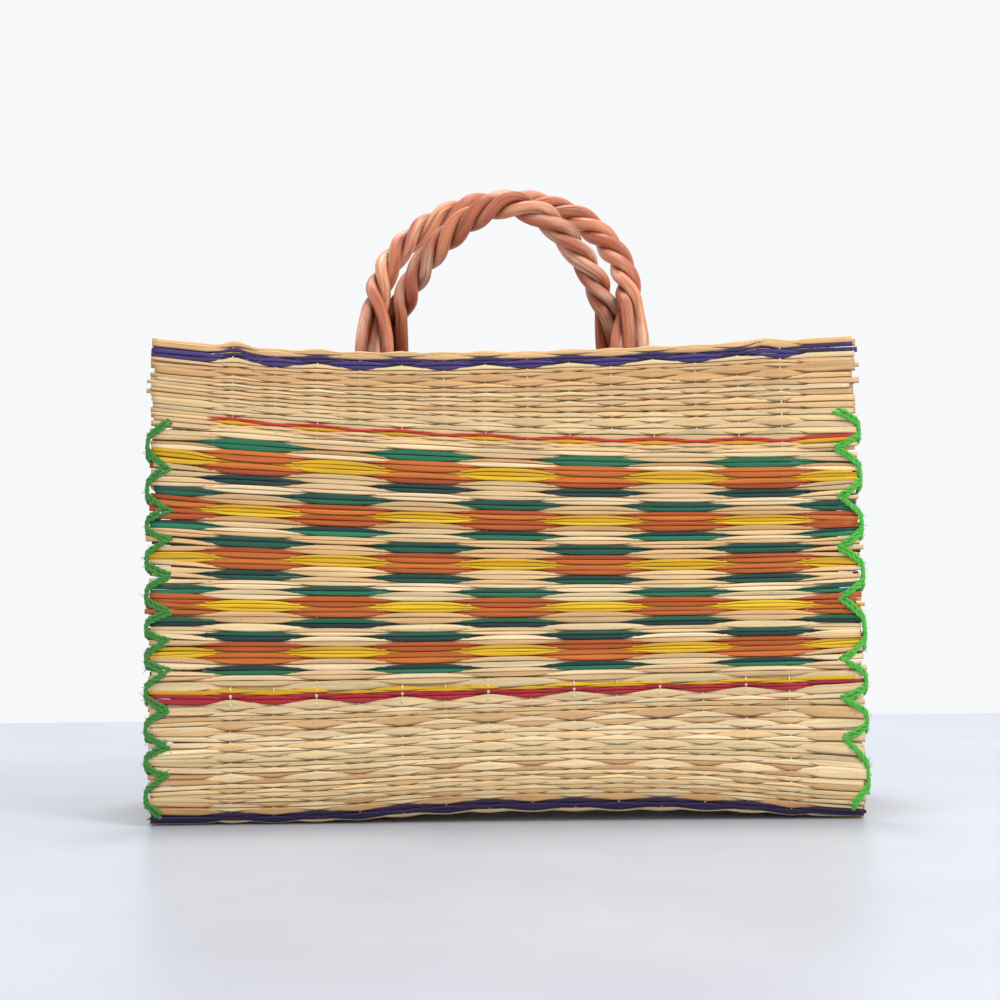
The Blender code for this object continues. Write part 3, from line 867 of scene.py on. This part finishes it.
end_edges = [flat_edge(z) for z in (PANEL_TOP, PANEL_TOP - END_RIM, PANEL_FOOT)]
for side, name in ((-1, "end_panel_left"), (1, "end_panel_right")):
    stems = stack(END_BANDS)
    mat = Mat(panel_surface(side), -2 * END_STRING_PITCH, END_STRING_PITCH, END_STRINGS, no_push)
    ends = FOOT_REACH - np.random.default_rng(side + 5).uniform(0, END_RAGGEDNESS, (len(stems), 2))
    woven = weave(mat, stems, end_edges, END_STEPS, ends, 20 + side)
    piece = tubes(name + "_reeds", *woven, 6, stems[:, TINT], FLATNESS)
    piece.data.materials.append(rush)
    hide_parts(name)

# %% [markdown]
# ## The strings
# A string runs down at each crossing, behind the bundle in front and over the one behind. It is
# seen only where it comes up between two bundles, as a row of small white dots. White dots could
# be painted there, but a real string is lit and casts its shadow by itself.

# %% Strings of the body
STRING_COLOUR = (232, 214, 190)
STRING_RADIUS = 0.42 * MM
STRING_STEPS = 6
STRING_DEEP = 0.25 * MM
RISE_OVER = 1.5
RISE_PLAIN = 0.6
RISE_BLOCK = -0.6
RISE_END = 0.3
THICKER = 0.9
THICK_FROM = 0.7
THICK_OVER = 0.6


def string_levels(stems, edges, number, over=None):
    """Where a string comes up: the edges between the bundles that lie in front of it, from the
    top down, each with how far it comes up. In the band named over it crosses the bundle."""
    places, rises = [], []
    x = np.array([string_x[number]])
    for band in range(int(stems[:, BAND].max()) + 1):
        in_band = stems[stems[:, BAND] == band]
        block = in_band[0, BLOCK] > 0
        wave = side_block if block else side_plain
        kind = 0 if wave(np.array(float(number)), STRINGS) > 0 else 1
        rows = in_band[(in_band[:, KIND] == kind) & (in_band[:, NUMBER] == 0)]
        own = rows[:, MIXED] + STRAIGHTENING * (rows[:, OWN] - rows[:, MIXED])
        top, foot = edges[band](x)[0], edges[band + 1](x)[0]
        crosses = band == over and kind == 0
        place = own if crosses else own - rows[:, SHARE] / 2
        places.extend(top - (top - foot) * place)
        rises.extend([RISE_OVER if crosses else (RISE_BLOCK if block else RISE_PLAIN)] * len(rows))
    return places, rises


def string_path(number):
    """One string: up between the bundles and down behind each, lift = rise cos^2 - low sin^2."""
    levels = [
        string_levels(front_stems, front_edges, number, LOWER_LINE),
        string_levels(base_stems, base_edges, number),
        string_levels(back_stems, back_edges, number, len(BANDS) - 1 - LOWER_LINE),
    ]
    x = string_x[number]
    places = [*sum((places for places, _ in levels), []), float(back_edges[-1](np.array([x]))[0])]
    rises = np.array([*sum((rises for _, rises in levels), []), RISE_END])
    rises = rises * rng.uniform(0.8, 1.15, len(rises))
    place = np.arange((len(places) - 1) * STRING_STEPS + 1) / STRING_STEPS
    w = np.interp(place, np.arange(len(places)), places)
    x = x + 0 * w
    w = w + slow_waves(x, w, BODY_SEED, ROW_WAVE) + rim_bumps(x, w)
    up = np.cos(np.pi * place) ** 2
    deep = 0 if number == STRINGS - 1 else STRING_DEEP
    return x, w, np.interp(place, np.arange(len(rises)), rises) * MM * up - deep * (1 - up)


def columns_at(places, known, rows):
    """Every column of a table whose rows stand at known, read between them at places."""
    return np.stack([np.interp(places, known, rows[:, k]) for k in range(rows.shape[1])], -1)


def spread_over(count, rows):
    """The rows of a table spread over so many, for tubes that share one array."""
    return columns_at(np.linspace(0, len(rows) - 1, count), np.arange(len(rows)), rows)


def string_table(number):
    """A string's centre, across and outward directions and radius, side by side."""
    x, w, lift = string_path(number)
    point, down, outward = mat_frame(strip_point, x, w)
    thick = STRING_RADIUS * (1 + THICKER * np.clip(lift / MM - THICK_FROM, 0, THICK_OVER) / THICK_OVER)
    columns = (point + outward * lift[:, None], np.cross(down, outward), outward, thick[:, None])
    return np.concatenate(columns, 1)


strings = [string_table(number) for number in range(STRINGS)]
longest = max(len(rows) for rows in strings)
strings = np.stack([spread_over(longest, rows) for rows in strings])
centre, across, outward, size = np.split(strings, (3, 6, 9), -1)
size = size[..., 0]
string_piece = tubes("strings", centre, across, outward, size, size, 5, one_tint(STRING_COLOUR))

# %% [markdown]
# ## The handles
# Each handle is three willow rods twisted into a hoop. Below the rim they open out and lie side
# by side against the inside of the mat. The solid rods could be given grooves by sculpting, but
# a point on a rod is the hoop's centre line plus a turning offset, a helix wound round an arch,
# so the same rule with more points gives a smooth rod.

# %% The handles' sizes
ROD_RADIUS = 3.1 * MM
ROD_PITCH = 2 * ROD_RADIUS * 1.02 + 0.3 * MM
STRAND_RADIUS = ROD_PITCH / math.sqrt(3) * 1.046
ROPE_DIAMETER = 2 * (STRAND_RADIUS + ROD_RADIUS)
OPENING = 1.06
TWIST_LENGTH = 47.0 * MM
FRONT_HALF = 66.5 * MM
FRONT_STRAIGHT = 27.0 * MM
FRONT_RISE = 84.0 * MM
BACK_RISE = 76.5 * MM
BACK_POWER = 0.58
BACK_FLARE = 10.0 * MM
SWAY = 5.0 * MM
CROSSING_GAP = 1.2 * MM
HOOP_LEAN = math.tan(math.radians(28.0))
LEAN_EASE = 4.0 * MM
LEG_LENGTH = 62.0 * MM
UNTWIST_START = 24.0 * MM
UNTWIST_END = 2.0 * MM
RIM_SAG = 3.5 * MM
RIM_HEIGHT = 241.0 * MM


def rim_height(x):
    return RIM_HEIGHT - RIM_SAG * (1 - (x / HALF_WIDTH) ** 2)


def hoop_depth(half, rise):
    """From the middle plane to the hoop: the mat's lean, then an eased turn to the hoop's own."""
    rim = rim_height(half)
    slope = float(wall_slope(half, rim))
    eased = rise - LEAN_EASE * (1 - np.exp(-rise / LEAN_EASE))
    start = float(inner_depth(half, rim, MAT_GAP + ROD_RADIUS))
    return start - slope * rise - (HOOP_LEAN - slope) * eased


def front_reach(rise):
    """Straight legs, then half an ellipse."""
    share = np.clip((rise - FRONT_STRAIGHT) / (FRONT_RISE - FRONT_STRAIGHT), 0, 1)
    return FRONT_HALF * np.sqrt(1 - share**2)


rises = np.linspace(0, FRONT_RISE, 2000)
crossing = rises[np.argmin(np.abs(hoop_depth(FRONT_HALF, rises)))]
flare_left = BACK_FLARE * (1 - crossing / BACK_RISE)
passing = float(front_reach(crossing)) - ROPE_DIAMETER - CROSSING_GAP
BACK_ARCH = (passing - flare_left) / (1 - (crossing / BACK_RISE) ** 2) ** BACK_POWER
BACK_HALF = BACK_ARCH + BACK_FLARE


def back_reach(rise):
    """A more pointed arch on flaring legs: arch (1 - share^2)^power + flare (1 - share)."""
    share = np.clip(rise / BACK_RISE, 0, 1)
    return BACK_ARCH * (1 - share**2) ** BACK_POWER + BACK_FLARE * (1 - share)


def sway(rise):
    """Both hoops lean a little to the right as they rise."""
    return SWAY * (rise / FRONT_RISE) ** 2


print("hoops cross", round(crossing / MM, 1), "mm above the rim; back half width", round(BACK_HALF / MM, 1))

# %% [markdown]
# ## One rod of a hoop
# The twist has to end in flat legs. Three straight rods could be joined to three twisted ones,
# but the joint would show, so each rod turns over smoothly from its place in the twist to its
# place in the leg. A willow rod isn't even: it has slow swells and a few knots. The grooves of
# the twist, where the rods touch, are painted darker as shade.

# %% A hoop's centre line and its rods
HOOP_SAMPLES = 600
ROD_STEPS = 260
ROD_SIDES = 16
LEG_STEPS = 30
KNOTS = 5
KNOT_SIZE = 0.06
KNOT_WIDTH = 0.008
ROD_FLATNESS = 1.15
# Painted shade in the twist's grooves: how much each colour channel is darkened there.
GROOVE_SHADE = np.array([0.62, 0.76, 0.82])
WILLOW_COLOURS = ((208, 126, 88), (194, 108, 72), (220, 144, 102), (186, 100, 68))


def hoop_line(side, half, top_rise, reach_of):
    """Up the left leg, over the arch and down the right leg."""
    rim = rim_height(half)
    z = np.linspace(rim - LEG_LENGTH, rim, LEG_STEPS, endpoint=False)
    leg_y = side * inner_depth(half, z, MAT_GAP + ROD_RADIUS)
    rise = top_rise * np.sin(np.linspace(0, np.pi / 2, HOOP_SAMPLES))
    arch_y = side * hoop_depth(half, rise)
    sides = []
    for x_side in (-1, 1):
        leg = np.stack([x_side * half + 0 * z, leg_y, z], -1)
        arch = np.stack([sway(rise) + x_side * reach_of(rise), arch_y, rim + rise], -1)
        sides.append(np.concatenate([leg, arch]))
    return np.concatenate([sides[0], sides[1][-2::-1]]), rim


def untwisted(role, turn):
    """A rod's place across the rope as it opens: role 0 is outer, 1 front, 2 back."""
    opened = np.sin(turn)
    spread = (ROD_PITCH - STRAND_RADIUS) * OPENING * opened
    closed_half = STRAND_RADIUS * math.sqrt(3) / 2
    half = closed_half + (ROD_PITCH / 2 - closed_half) * opened
    sign = 1 if role == 1 else -1
    if role == 0:
        return STRAND_RADIUS + spread, 0 * turn
    return -STRAND_RADIUS / 2 - spread / 2 - sign * half * opened, sign * half * np.cos(turn)


def rod_path(line, rim, rod):
    """The rod's centre: hoop line + outward cos(angle) radius + forward sin(angle) radius."""
    step = np.linalg.norm(np.diff(line, axis=0), axis=1)
    lengths = np.concatenate([[0], np.cumsum(step)])
    total = lengths[-1]
    half_way = len(line) // 2
    flat, closed = np.interp([rim + UNTWIST_END, rim + UNTWIST_START], line[:half_way, 2], lengths[:half_way])
    twisted = total - 2 * closed
    thirds = max(1, round(3 * twisted / TWIST_LENGTH))
    s = np.linspace(0, total, ROD_STEPS)
    centre = columns_at(s, lengths, line)
    along = unit(columns_at(s, lengths, np.gradient(line, lengths, axis=0)))
    forward = unit(np.array([0, -1.0, 0]) + along * along[:, 1:2])
    outward = np.cross(forward, along)
    angle = 2 * np.pi * rod / 3 - 2 * np.pi * thirds / 3 * (s - closed) / twisted
    from_end = np.minimum(s, total - s)
    turn = np.pi / 2 * (1 - np.clip((from_end - flat) / (closed - flat), 0, 1))
    left = untwisted(rod, turn)
    right = untwisted((0, 2, 1)[(rod - thirds) % 3], turn)
    first = s < total / 2
    opened = [np.where(first, left[0], right[0]), np.where(first, left[1], -right[1])]
    closed_now = from_end >= closed
    u = np.where(closed_now, STRAND_RADIUS * np.cos(angle), opened[0])[:, None]
    v = np.where(closed_now, STRAND_RADIUS * np.sin(angle), opened[1])[:, None]
    return centre + outward * u + forward * v, centre


def smooth_rows(points, rounds):
    """Each inner point moves to the mean of itself and its neighbours' mean."""
    for _ in range(rounds):
        middle = (points[:-2] + points[2:]) / 4 + points[1:-1] / 2
        points = np.concatenate([points[:1], middle, points[-1:]])
    return points


def rod_radius(t, rod):
    """Radius times 1 + two sines along the rod + a narrow bell for each knot, t from 0 to 1."""
    knots = sum(KNOT_SIZE * np.exp(-(((t - k) / KNOT_WIDTH) ** 2)) for k in rng.uniform(0.1, 0.9, KNOTS))
    swell = 0.05 * np.sin(9 * t + 2 * rod) + 0.04 * np.sin(31 * t + rod)
    return ROD_RADIUS * (1.05 + swell + knots)


def rod_tint(across, out, away):
    """One willow colour, with painted shade where the surface faces the rope's middle:
    groove_shade = (0.35 - ring . away) / 0.9, held to 0 and 1."""
    colour = linear(WILLOW_COLOURS[rng.integers(len(WILLOW_COLOURS))])
    angle = 2 * np.pi * (np.arange(ROD_SIDES) + 0.5) / ROD_SIDES
    ring = np.cos(angle)[:, None] * across[:, None] + np.sin(angle)[:, None] * out[:, None]
    # Painted shade in the grooves, where the rods touch.
    groove_shade = np.clip((0.35 - (ring * away[:, None]).sum(-1)) / 0.9, 0, 1)[None, ..., None]
    tint = colour * (1 - groove_shade * GROOVE_SHADE)
    return np.concatenate([tint, np.full((*tint.shape[:3], 1), rng.random())], -1)


rod_pieces = []
hoops = (("front", -1, FRONT_HALF, FRONT_RISE, front_reach), ("back", 1, BACK_HALF, BACK_RISE, back_reach))
for name, side, half, top_rise, reach_of in hoops:
    line, rim = hoop_line(side, half, top_rise, reach_of)
    for rod in range(3):
        path, rope = (smooth_rows(rows, 3) for rows in rod_path(line, rim, rod))
        along = unit(np.gradient(path, axis=0))
        facing = np.array([0, -1.0, 0])
        out = unit(facing - along * (along @ facing)[:, None])
        across = np.cross(out, along)
        radius = rod_radius(np.linspace(0, 1, ROD_STEPS)[None], rod)
        tint = rod_tint(across, out, unit(path - rope))
        node = f"handle_{name}_rod_{rod + 1}"
        rows = (path[None], across[None], out[None], radius * 1.04, radius * 0.94)
        piece = tubes(node + "_willow", *rows, ROD_SIDES, tint, ROD_FLATNESS)
        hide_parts(node)
        rod_pieces.append(piece)

# %% [markdown]
# ## The ties inside
# Cord lashes each handle's legs to the mat. A single block would do for something so hidden, but
# it can be seen from above, so it is wound over the three rods several times. Each turn is a U
# that bridges them, from the mat's face and back to it.

# %% Wound ties
TIE_ABOVE_TIP = 30.0 * MM
TIE_HEIGHT = 13.0 * MM
TIE_WALL = 1.8 * MM
TIE_GAP = 0.4 * MM
TIE_SLANT = 0.54 * MM
TIE_TURNS = 7
TIE_STEPS = 40
TIE_COLOUR = (206, 196, 176)


def tie_turn(t):
    """Half of a turn seen from above as (x, y): up a straight foot, round a corner, across."""
    span = ROD_PITCH * OPENING + ROD_RADIUS + TIE_GAP + TIE_WALL / 2
    deep = MAT_GAP + 2 * ROD_RADIUS + TIE_GAP + TIE_WALL / 2
    corner = ROD_RADIUS + TIE_WALL / 2
    foot, bend = deep - corner, corner * np.pi / 2
    run = t * (foot + bend + span - corner)
    turn = np.clip((run - foot) / corner, 0, np.pi / 2)
    x = span - corner + corner * np.cos(turn) - np.clip(run - foot - bend, 0, None)
    y = np.clip(run, 0, foot) + corner * np.sin(turn)
    return x, y


def mat_axes(side, x, z):
    """A point on the inner face of the front or back, and the directions sideways, up the face
    and into the bag, from two points a millimetre away."""
    near = ((x, z), (x + 1 * MM, z), (x, z + 1 * MM))
    face = [np.array([a, side * float(inner_depth(a, b, MAT_GAP)), b]) for a, b in near]
    sideways = unit(face[1] - face[0])
    upward = face[2] - face[0]
    upward = unit(upward - sideways * (upward @ sideways))
    inward = np.cross(upward, sideways)
    return face[0], sideways, upward, -inward if inward[1] * side > 0 else inward


tie_pieces = []
for name, side, half, _, _ in hoops:
    for x_side, hand in ((-1, "left"), (1, "right")):
        z = float(rim_height(half)) - LEG_LENGTH + TIE_ABOVE_TIP
        start, sideways, upward, inward = mat_axes(side, x_side * half, z)
        x, y = tie_turn(np.linspace(0, 1, TIE_STEPS // 2))
        x, y = np.concatenate([x, -x[-2::-1]]), np.concatenate([y, y[-2::-1]])
        rows = (np.arange(TIE_TURNS) - (TIE_TURNS - 1) / 2) * TIE_HEIGHT / TIE_TURNS
        slant = TIE_SLANT * np.linspace(-1, 1, len(x))[None] * rng.uniform(-0.5, 1, (TIE_TURNS, 1))
        up = (rows[:, None] + slant)[..., None]
        centre = start + x[None, :, None] * sideways + y[None, :, None] * inward + up * upward
        along = unit(np.gradient(centre, axis=1))
        lift = np.broadcast_to(upward, centre.shape)
        size = np.full(centre.shape[:2], TIE_WALL / 2)
        node = f"handle_tie_{name}_{hand}"
        rows = (centre, np.cross(lift, along), lift, size, size)
        piece = tubes(node + "_cord", *rows, 8, one_tint(TIE_COLOUR, 0.4))
        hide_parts(node)
        tie_pieces.append(piece)

# %% [markdown]
# ## The green yarn
# Two-ply wool sews the mats together along all four upright edges. It bites into the front a
# finger's width from the edge, comes out over the edge and bites again lower down, so it draws a
# zigzag, and each stitch is two strands side by side. The same goes on over the end panel. A flat
# ribbon with a twisted picture would look cut out at the edge, so each ply is a helix round the
# yarn's own path, with fine hairs standing off it.

# %% Zigzag paths
YARN_RADIUS = 1.05 * MM
YARN_STEP = 0.7 * MM
YARN_TURN = 7.5 * MM
SECOND_STRAND = 1.8 * MM
CORNER_ROUNDING = 5.0 * MM
FIRST_INSET = 7.0 * MM
FIRST_LIFT = 0.6 * MM
# One stitch, a row for each point: share of the inset, how far past the edge in millimetres,
# share of the drop to the next bite, and lift in millimetres.
STITCH = (
    (1.0, 0.0, 0.0, 0.6),
    (0.55, 0.0, 0.12, 2.3),
    (0.0, 0.6, 0.34, 1.2),
    (0.0, 1.2, 0.66, 0.9),
    (0.5, 0.0, 0.9, 2.3),
)


def resample(points):
    """Points at an even step along a chain, its corners rounded by a running mean."""
    points = np.asarray(points, float)
    lengths = np.concatenate([[0], np.cumsum(np.linalg.norm(np.diff(points, axis=0), axis=1))])
    even = columns_at(np.arange(0, lengths[-1], YARN_STEP), lengths, points)
    width = int(CORNER_ROUNDING / YARN_STEP)
    window = np.hanning(width + 2)[1:-1]
    window = window / window.sum()
    longer = np.concatenate([np.repeat(even[:1], width, 0), even, np.repeat(even[-1:], width, 0)])
    smooth = np.stack([np.convolve(longer[:, k], window, "same") for k in range(3)], -1)
    return smooth[width:-width]


def edge_point(side_x, side_y, inset, z, lift):
    """A point near an upright edge: inset in from the mat's end, lift out of its face."""
    x = side_x * (HALF_WIDTH - inset)
    w = z - FOLD_RADIUS if side_y < 0 else -BASE_RUN - (z - FOLD_RADIUS)
    point, _, outward = mat_frame(strip_point, np.array([x]), np.array([w]))
    return (point + outward * lift)[0]


def seam_chain(side_x, side_y, bites, seed):
    """The zigzag: bite, out over the edge, along it, and back to the next bite."""
    local = np.random.default_rng(seed)
    chain = []
    for upper, lower in zip(bites[:0:-1], bites[-2::-1]):
        inset = local.uniform(8.5, 12.5) * MM
        for share, past, fall, lift in STITCH:
            z = upper - fall * (upper - lower)
            chain.append(edge_point(side_x, side_y, inset * share - past * MM, z, lift * MM))
    chain.append(edge_point(side_x, side_y, FIRST_INSET, bites[0], FIRST_LIFT))
    return resample(chain)


def end_chain(side_x, side_y, bites, seed):
    """The same over the end panel: between its face and the mat's edge."""
    local = np.random.default_rng(seed)
    chain = []
    surface = panel_surface(side_x)
    for upper, lower in zip(bites[:0:-1], bites[-2::-1]):
        drop = upper - lower
        s = np.array([side_x * side_y * (FOOT_REACH - local.uniform(7, 9) * MM)])
        z = np.array([upper - 0.1 * drop])
        point, _, outward = mat_frame(surface, s, z)
        chain.append((point - outward * 0.2 * MM)[0])
        chain.append((point + outward * 2.4 * MM)[0] + np.array([0, side_y * 2.5 * MM, -0.05 * drop]))
        for fall in (0.3, 0.8):
            chain.append(edge_point(side_x, side_y, -0.9 * MM, upper - fall * drop, -0.6 * MM))
    return resample(chain)


print("one stitch has", len(STITCH), "points, and the yarn is", 2 * YARN_RADIUS / MM, "mm thick")

# %% Plies and hairs
PLY_OFFSET = 0.34
PLY_RADIUS = 0.74
HAIRS = 800
HAIR_STEPS = 4
HAIR_RADIUS = 0.12 * MM
# The left seams' green is a darker copy of the right's: painted shade for the side away from the window lamp.
YARN_LIT_AND_SHADED_COLOURS = {-1: (56, 138, 48), 1: (80, 188, 56)}
CORNERS = ((-1, -1, "front_left"), (1, -1, "front_right"), (-1, 1, "back_left"), (1, 1, "back_right"))


def plies(path):
    """Two strands wound round a path: offset = 0.34 radius (cos, sin)(2 pi s / turn)."""
    along = unit(np.gradient(path, axis=0))
    helper = np.where(np.abs(along[:, 1:2]) < 0.8, np.array([[0, 1.0, 0]]), np.array([[1.0, 0, 0]]))
    first = unit(helper - along * (along * helper).sum(1, keepdims=True))
    second = np.cross(along, first)
    out = []
    for phase in (0, np.pi):
        angle = 2 * np.pi * np.arange(len(path)) * YARN_STEP / YARN_TURN + phase
        offset = first * np.cos(angle)[:, None] + second * np.sin(angle)[:, None]
        out.append((path + offset * YARN_RADIUS * PLY_OFFSET, first, second))
    return out


def fuzz(name, centre, colour):
    """Fine hairs off the yarn: root + length * (aim t + curl t^2 / 2), t from 0 to 1."""
    roots = centre.reshape(-1, 3)[rng.integers(centre.shape[0] * centre.shape[1], size=HAIRS)]
    aim = unit(rng.normal(size=(HAIRS, 3)))[:, None]
    length = rng.uniform(1.0, 3.4, (HAIRS, 1, 1)) * MM
    curl = unit(np.cross(aim[:, 0], rng.normal(size=(HAIRS, 3))))[:, None]
    t = np.linspace(0, 1, HAIR_STEPS)[None, :, None]
    hair = roots[:, None] + length * (aim * t + curl * t**2 / 2)
    along = unit(np.gradient(hair, axis=1))
    side_on = unit(np.cross(along, curl + 0.01))
    size = np.full(hair.shape[:2], HAIR_RADIUS)
    return tubes(name, hair, side_on, np.cross(along, side_on), size, size, 3, one_tint(colour))


yarn_pieces = []
for number, (side_x, side_y, name) in enumerate(CORNERS):
    bites = RIGHT_BITES if side_x > 0 else LEFT_BITES
    chains = [
        seam_chain(side_x, side_y, bites, 40 + number),
        end_chain(side_x, side_y, bites, 50 + number),
        seam_chain(side_x, side_y, bites + SECOND_STRAND, 60 + number),
    ]
    steps = max(len(chain) for chain in chains)
    strands = [strand for chain in chains for strand in plies(spread_over(steps, chain))]
    centre, first, second = (np.stack([strand[k] for strand in strands]) for k in range(3))
    size = np.full(centre.shape[:2], YARN_RADIUS * PLY_RADIUS)
    colour = YARN_LIT_AND_SHADED_COLOURS[side_x]
    tint = np.array([[*linear(colour), rng.random()] for _ in strands])
    yarn_pieces.append(tubes(f"yarn_{name}", centre, first, second, size, size, 6, tint))
    yarn_pieces.append(fuzz(f"yarn_fuzz_{name}", centre, colour))

# %% [markdown]
# ## Finishes of the willow, the wool and the string
# Peeled willow is satin, with long fine grain, paler patches and shreds of dark bark. Wool
# scatters light softly, and the string is plain cotton. Each could be one flat colour, which is
# how plastic looks, so streaks along the rod or the thread change its tint, gloss and relief.

# %% Willow, wool and cotton
WILLOW_GRAIN = 0.6 * MM
PEELED = (0.86, 0.60, 0.42, 1.0)
BARK = (0.22, 0.075, 0.035, 1.0)


def willow_finish():
    """tint * (grain and patches), paler where the patches are high, bark where the grain is low."""
    finish = Finish("peeled_willow")
    grain = finish.streaks(26.0, 14.0, 5.0, 0.65)
    patch = finish.streaks(30.0, 2.0, 3.0, 0.5)
    colour = finish.dyed(0.08 + grain * 1.35 + patch * 0.5)
    colour = finish.mix("MIX", finish.rising(patch, 0.5, 0.68, 0.6), colour, PEELED)
    colour = finish.mix("MIX", finish.rising(grain, 0.48, 0.38, 0.6), colour, BARK)
    bump = finish.bump(grain + patch, WILLOW_GRAIN)
    finish.set(Base_Color=colour, Roughness=0.30 + grain * 0.25, Normal=bump)
    return finish.material


def thread_finish(name, depth, sheen):
    """tint * fibres, short along the thread and long round it, as the twist lays them."""
    finish = Finish(name)
    fibre = finish.streaks(700.0, 5.0, 3.0, 0.6)
    colour = finish.dyed(0.6 + fibre * 0.75)
    bump = finish.bump(fibre, depth)
    finish.set(Base_Color=colour, Roughness=0.8 + fibre * 0.1, Normal=bump, Sheen_Weight=sheen)
    return finish.material


willow = willow_finish()
wool = thread_finish("green_wool", 0.3 * MM, 0.35)
cotton = thread_finish("cotton_string", 0.15 * MM, 0.1)
for piece in rod_pieces:
    piece.data.materials.append(willow)
for piece in yarn_pieces:
    piece.data.materials.append(wool)
for piece in [*tie_pieces, string_piece]:
    piece.data.materials.append(cotton)
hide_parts("body_mat")
print("materials:", [material.name for material in bpy.data.materials])

# %% [markdown]
# ## The table
# The bag stands on a pale, slightly cloudy table with a soft gloss. A plane from the menu would
# be as good, but its far edge has to be at one distance, so its four corners are given.

# %% Table
HALF_TABLE = 3.0
TABLE_FAR = 0.47
CLOUD_STOPS = [(0.3, (0.475, 0.505, 0.57)), (0.7, (0.54, 0.57, 0.635))]


def table():
    """A flat sheet from in front of the camera to the table's far edge."""
    mesh = bpy.data.meshes.new("table")
    corners = [(x, y, 0) for y in (-HALF_TABLE, TABLE_FAR) for x in (-HALF_TABLE, HALF_TABLE)]
    mesh.from_pydata(corners, [], [(0, 1, 3, 2)])
    piece = bpy.data.objects.new("table", mesh)
    bpy.context.scene.collection.objects.link(piece)
    finish = Finish("pale_table")
    place = finish.node("ShaderNodeTexCoord", {}, {}, 3)
    cloud = finish.noise(place, 6.0, 5.0, 0.6)
    ramp = finish.node("ShaderNodeValToRGB", {"stops": CLOUD_STOPS}, {"Fac": cloud})
    finish.set(Base_Color=ramp, Roughness=0.38)
    mesh.materials.append(finish.material)
    return piece


print("table of", len(table().data.polygons), "face")

# %% [markdown]
# ## Light
# The room is white, so most of the light comes from all sides. A large soft lamp to the right
# stands for a window and gives the side shadow; one behind and above the bag puts its shadow on
# the table in front of it. A sun lamp would be simpler, but its shadows are too hard for a room.

# %% World and lamps
ROOM_WHITE = (0.97, 0.98, 1.0, 1.0)
ROOM_STRENGTH = 0.96
world = bpy.data.worlds.new("white room")
bpy.context.scene.world = world
world.use_nodes = True
world.node_tree.nodes["Background"].inputs["Color"].default_value = ROOM_WHITE
world.node_tree.nodes["Background"].inputs["Strength"].default_value = ROOM_STRENGTH
bpy.context.scene.view_settings.view_transform = "Standard"


def soft_light(name, place, target, size, power, colour):
    data = bpy.data.lights.new(name, "AREA")
    data.shape = "DISK"
    data.size = size
    data.energy = power
    data.color = colour
    light = bpy.data.objects.new(name, data)
    light.location = place
    light.rotation_euler = (Vector(target) - Vector(place)).to_track_quat("-Z", "Y").to_euler()
    bpy.context.scene.collection.objects.link(light)
    print(name, "lamp of", power, "W")


soft_light("window", (1.0, -0.9, 1.5), (0, 0, 0.12), 0.6, 15.0, (1.0, 0.98, 0.96))
soft_light("ceiling", (0, 0.35, 1.6), (0, 0, 0), 0.3, 10.0, (1.0, 1.0, 1.0))

# %% [markdown]
# ## Camera
# The camera looks level, at two thirds of the bag's height, from a little over a metre away. It
# could be moved until the picture looks right, but its lens follows from the distance and from
# how many millimetres of the bag's front one pixel shows.

# %% Camera
PIXEL = 0.5 * MM
IMAGE = 1000
SENSOR = 36.0
CAMERA_DISTANCE = 1.10
EYE_HEIGHT = 0.1616
CAMERA_X = -2.0 * MM
ROLL = math.radians(0.6)
camera_data = bpy.data.cameras.new("camera")
camera_data.sensor_width = SENSOR
camera_data.lens = SENSOR * CAMERA_DISTANCE / (PIXEL * IMAGE)
camera = bpy.data.objects.new("camera", camera_data)
camera.location = (CAMERA_X, -HALF_BASE - CAMERA_DISTANCE, EYE_HEIGHT)
camera.rotation_euler = (math.radians(90), ROLL, 0)
bpy.context.scene.collection.objects.link(camera)
bpy.context.scene.camera = camera
print("lens", round(camera_data.lens, 1), "mm")
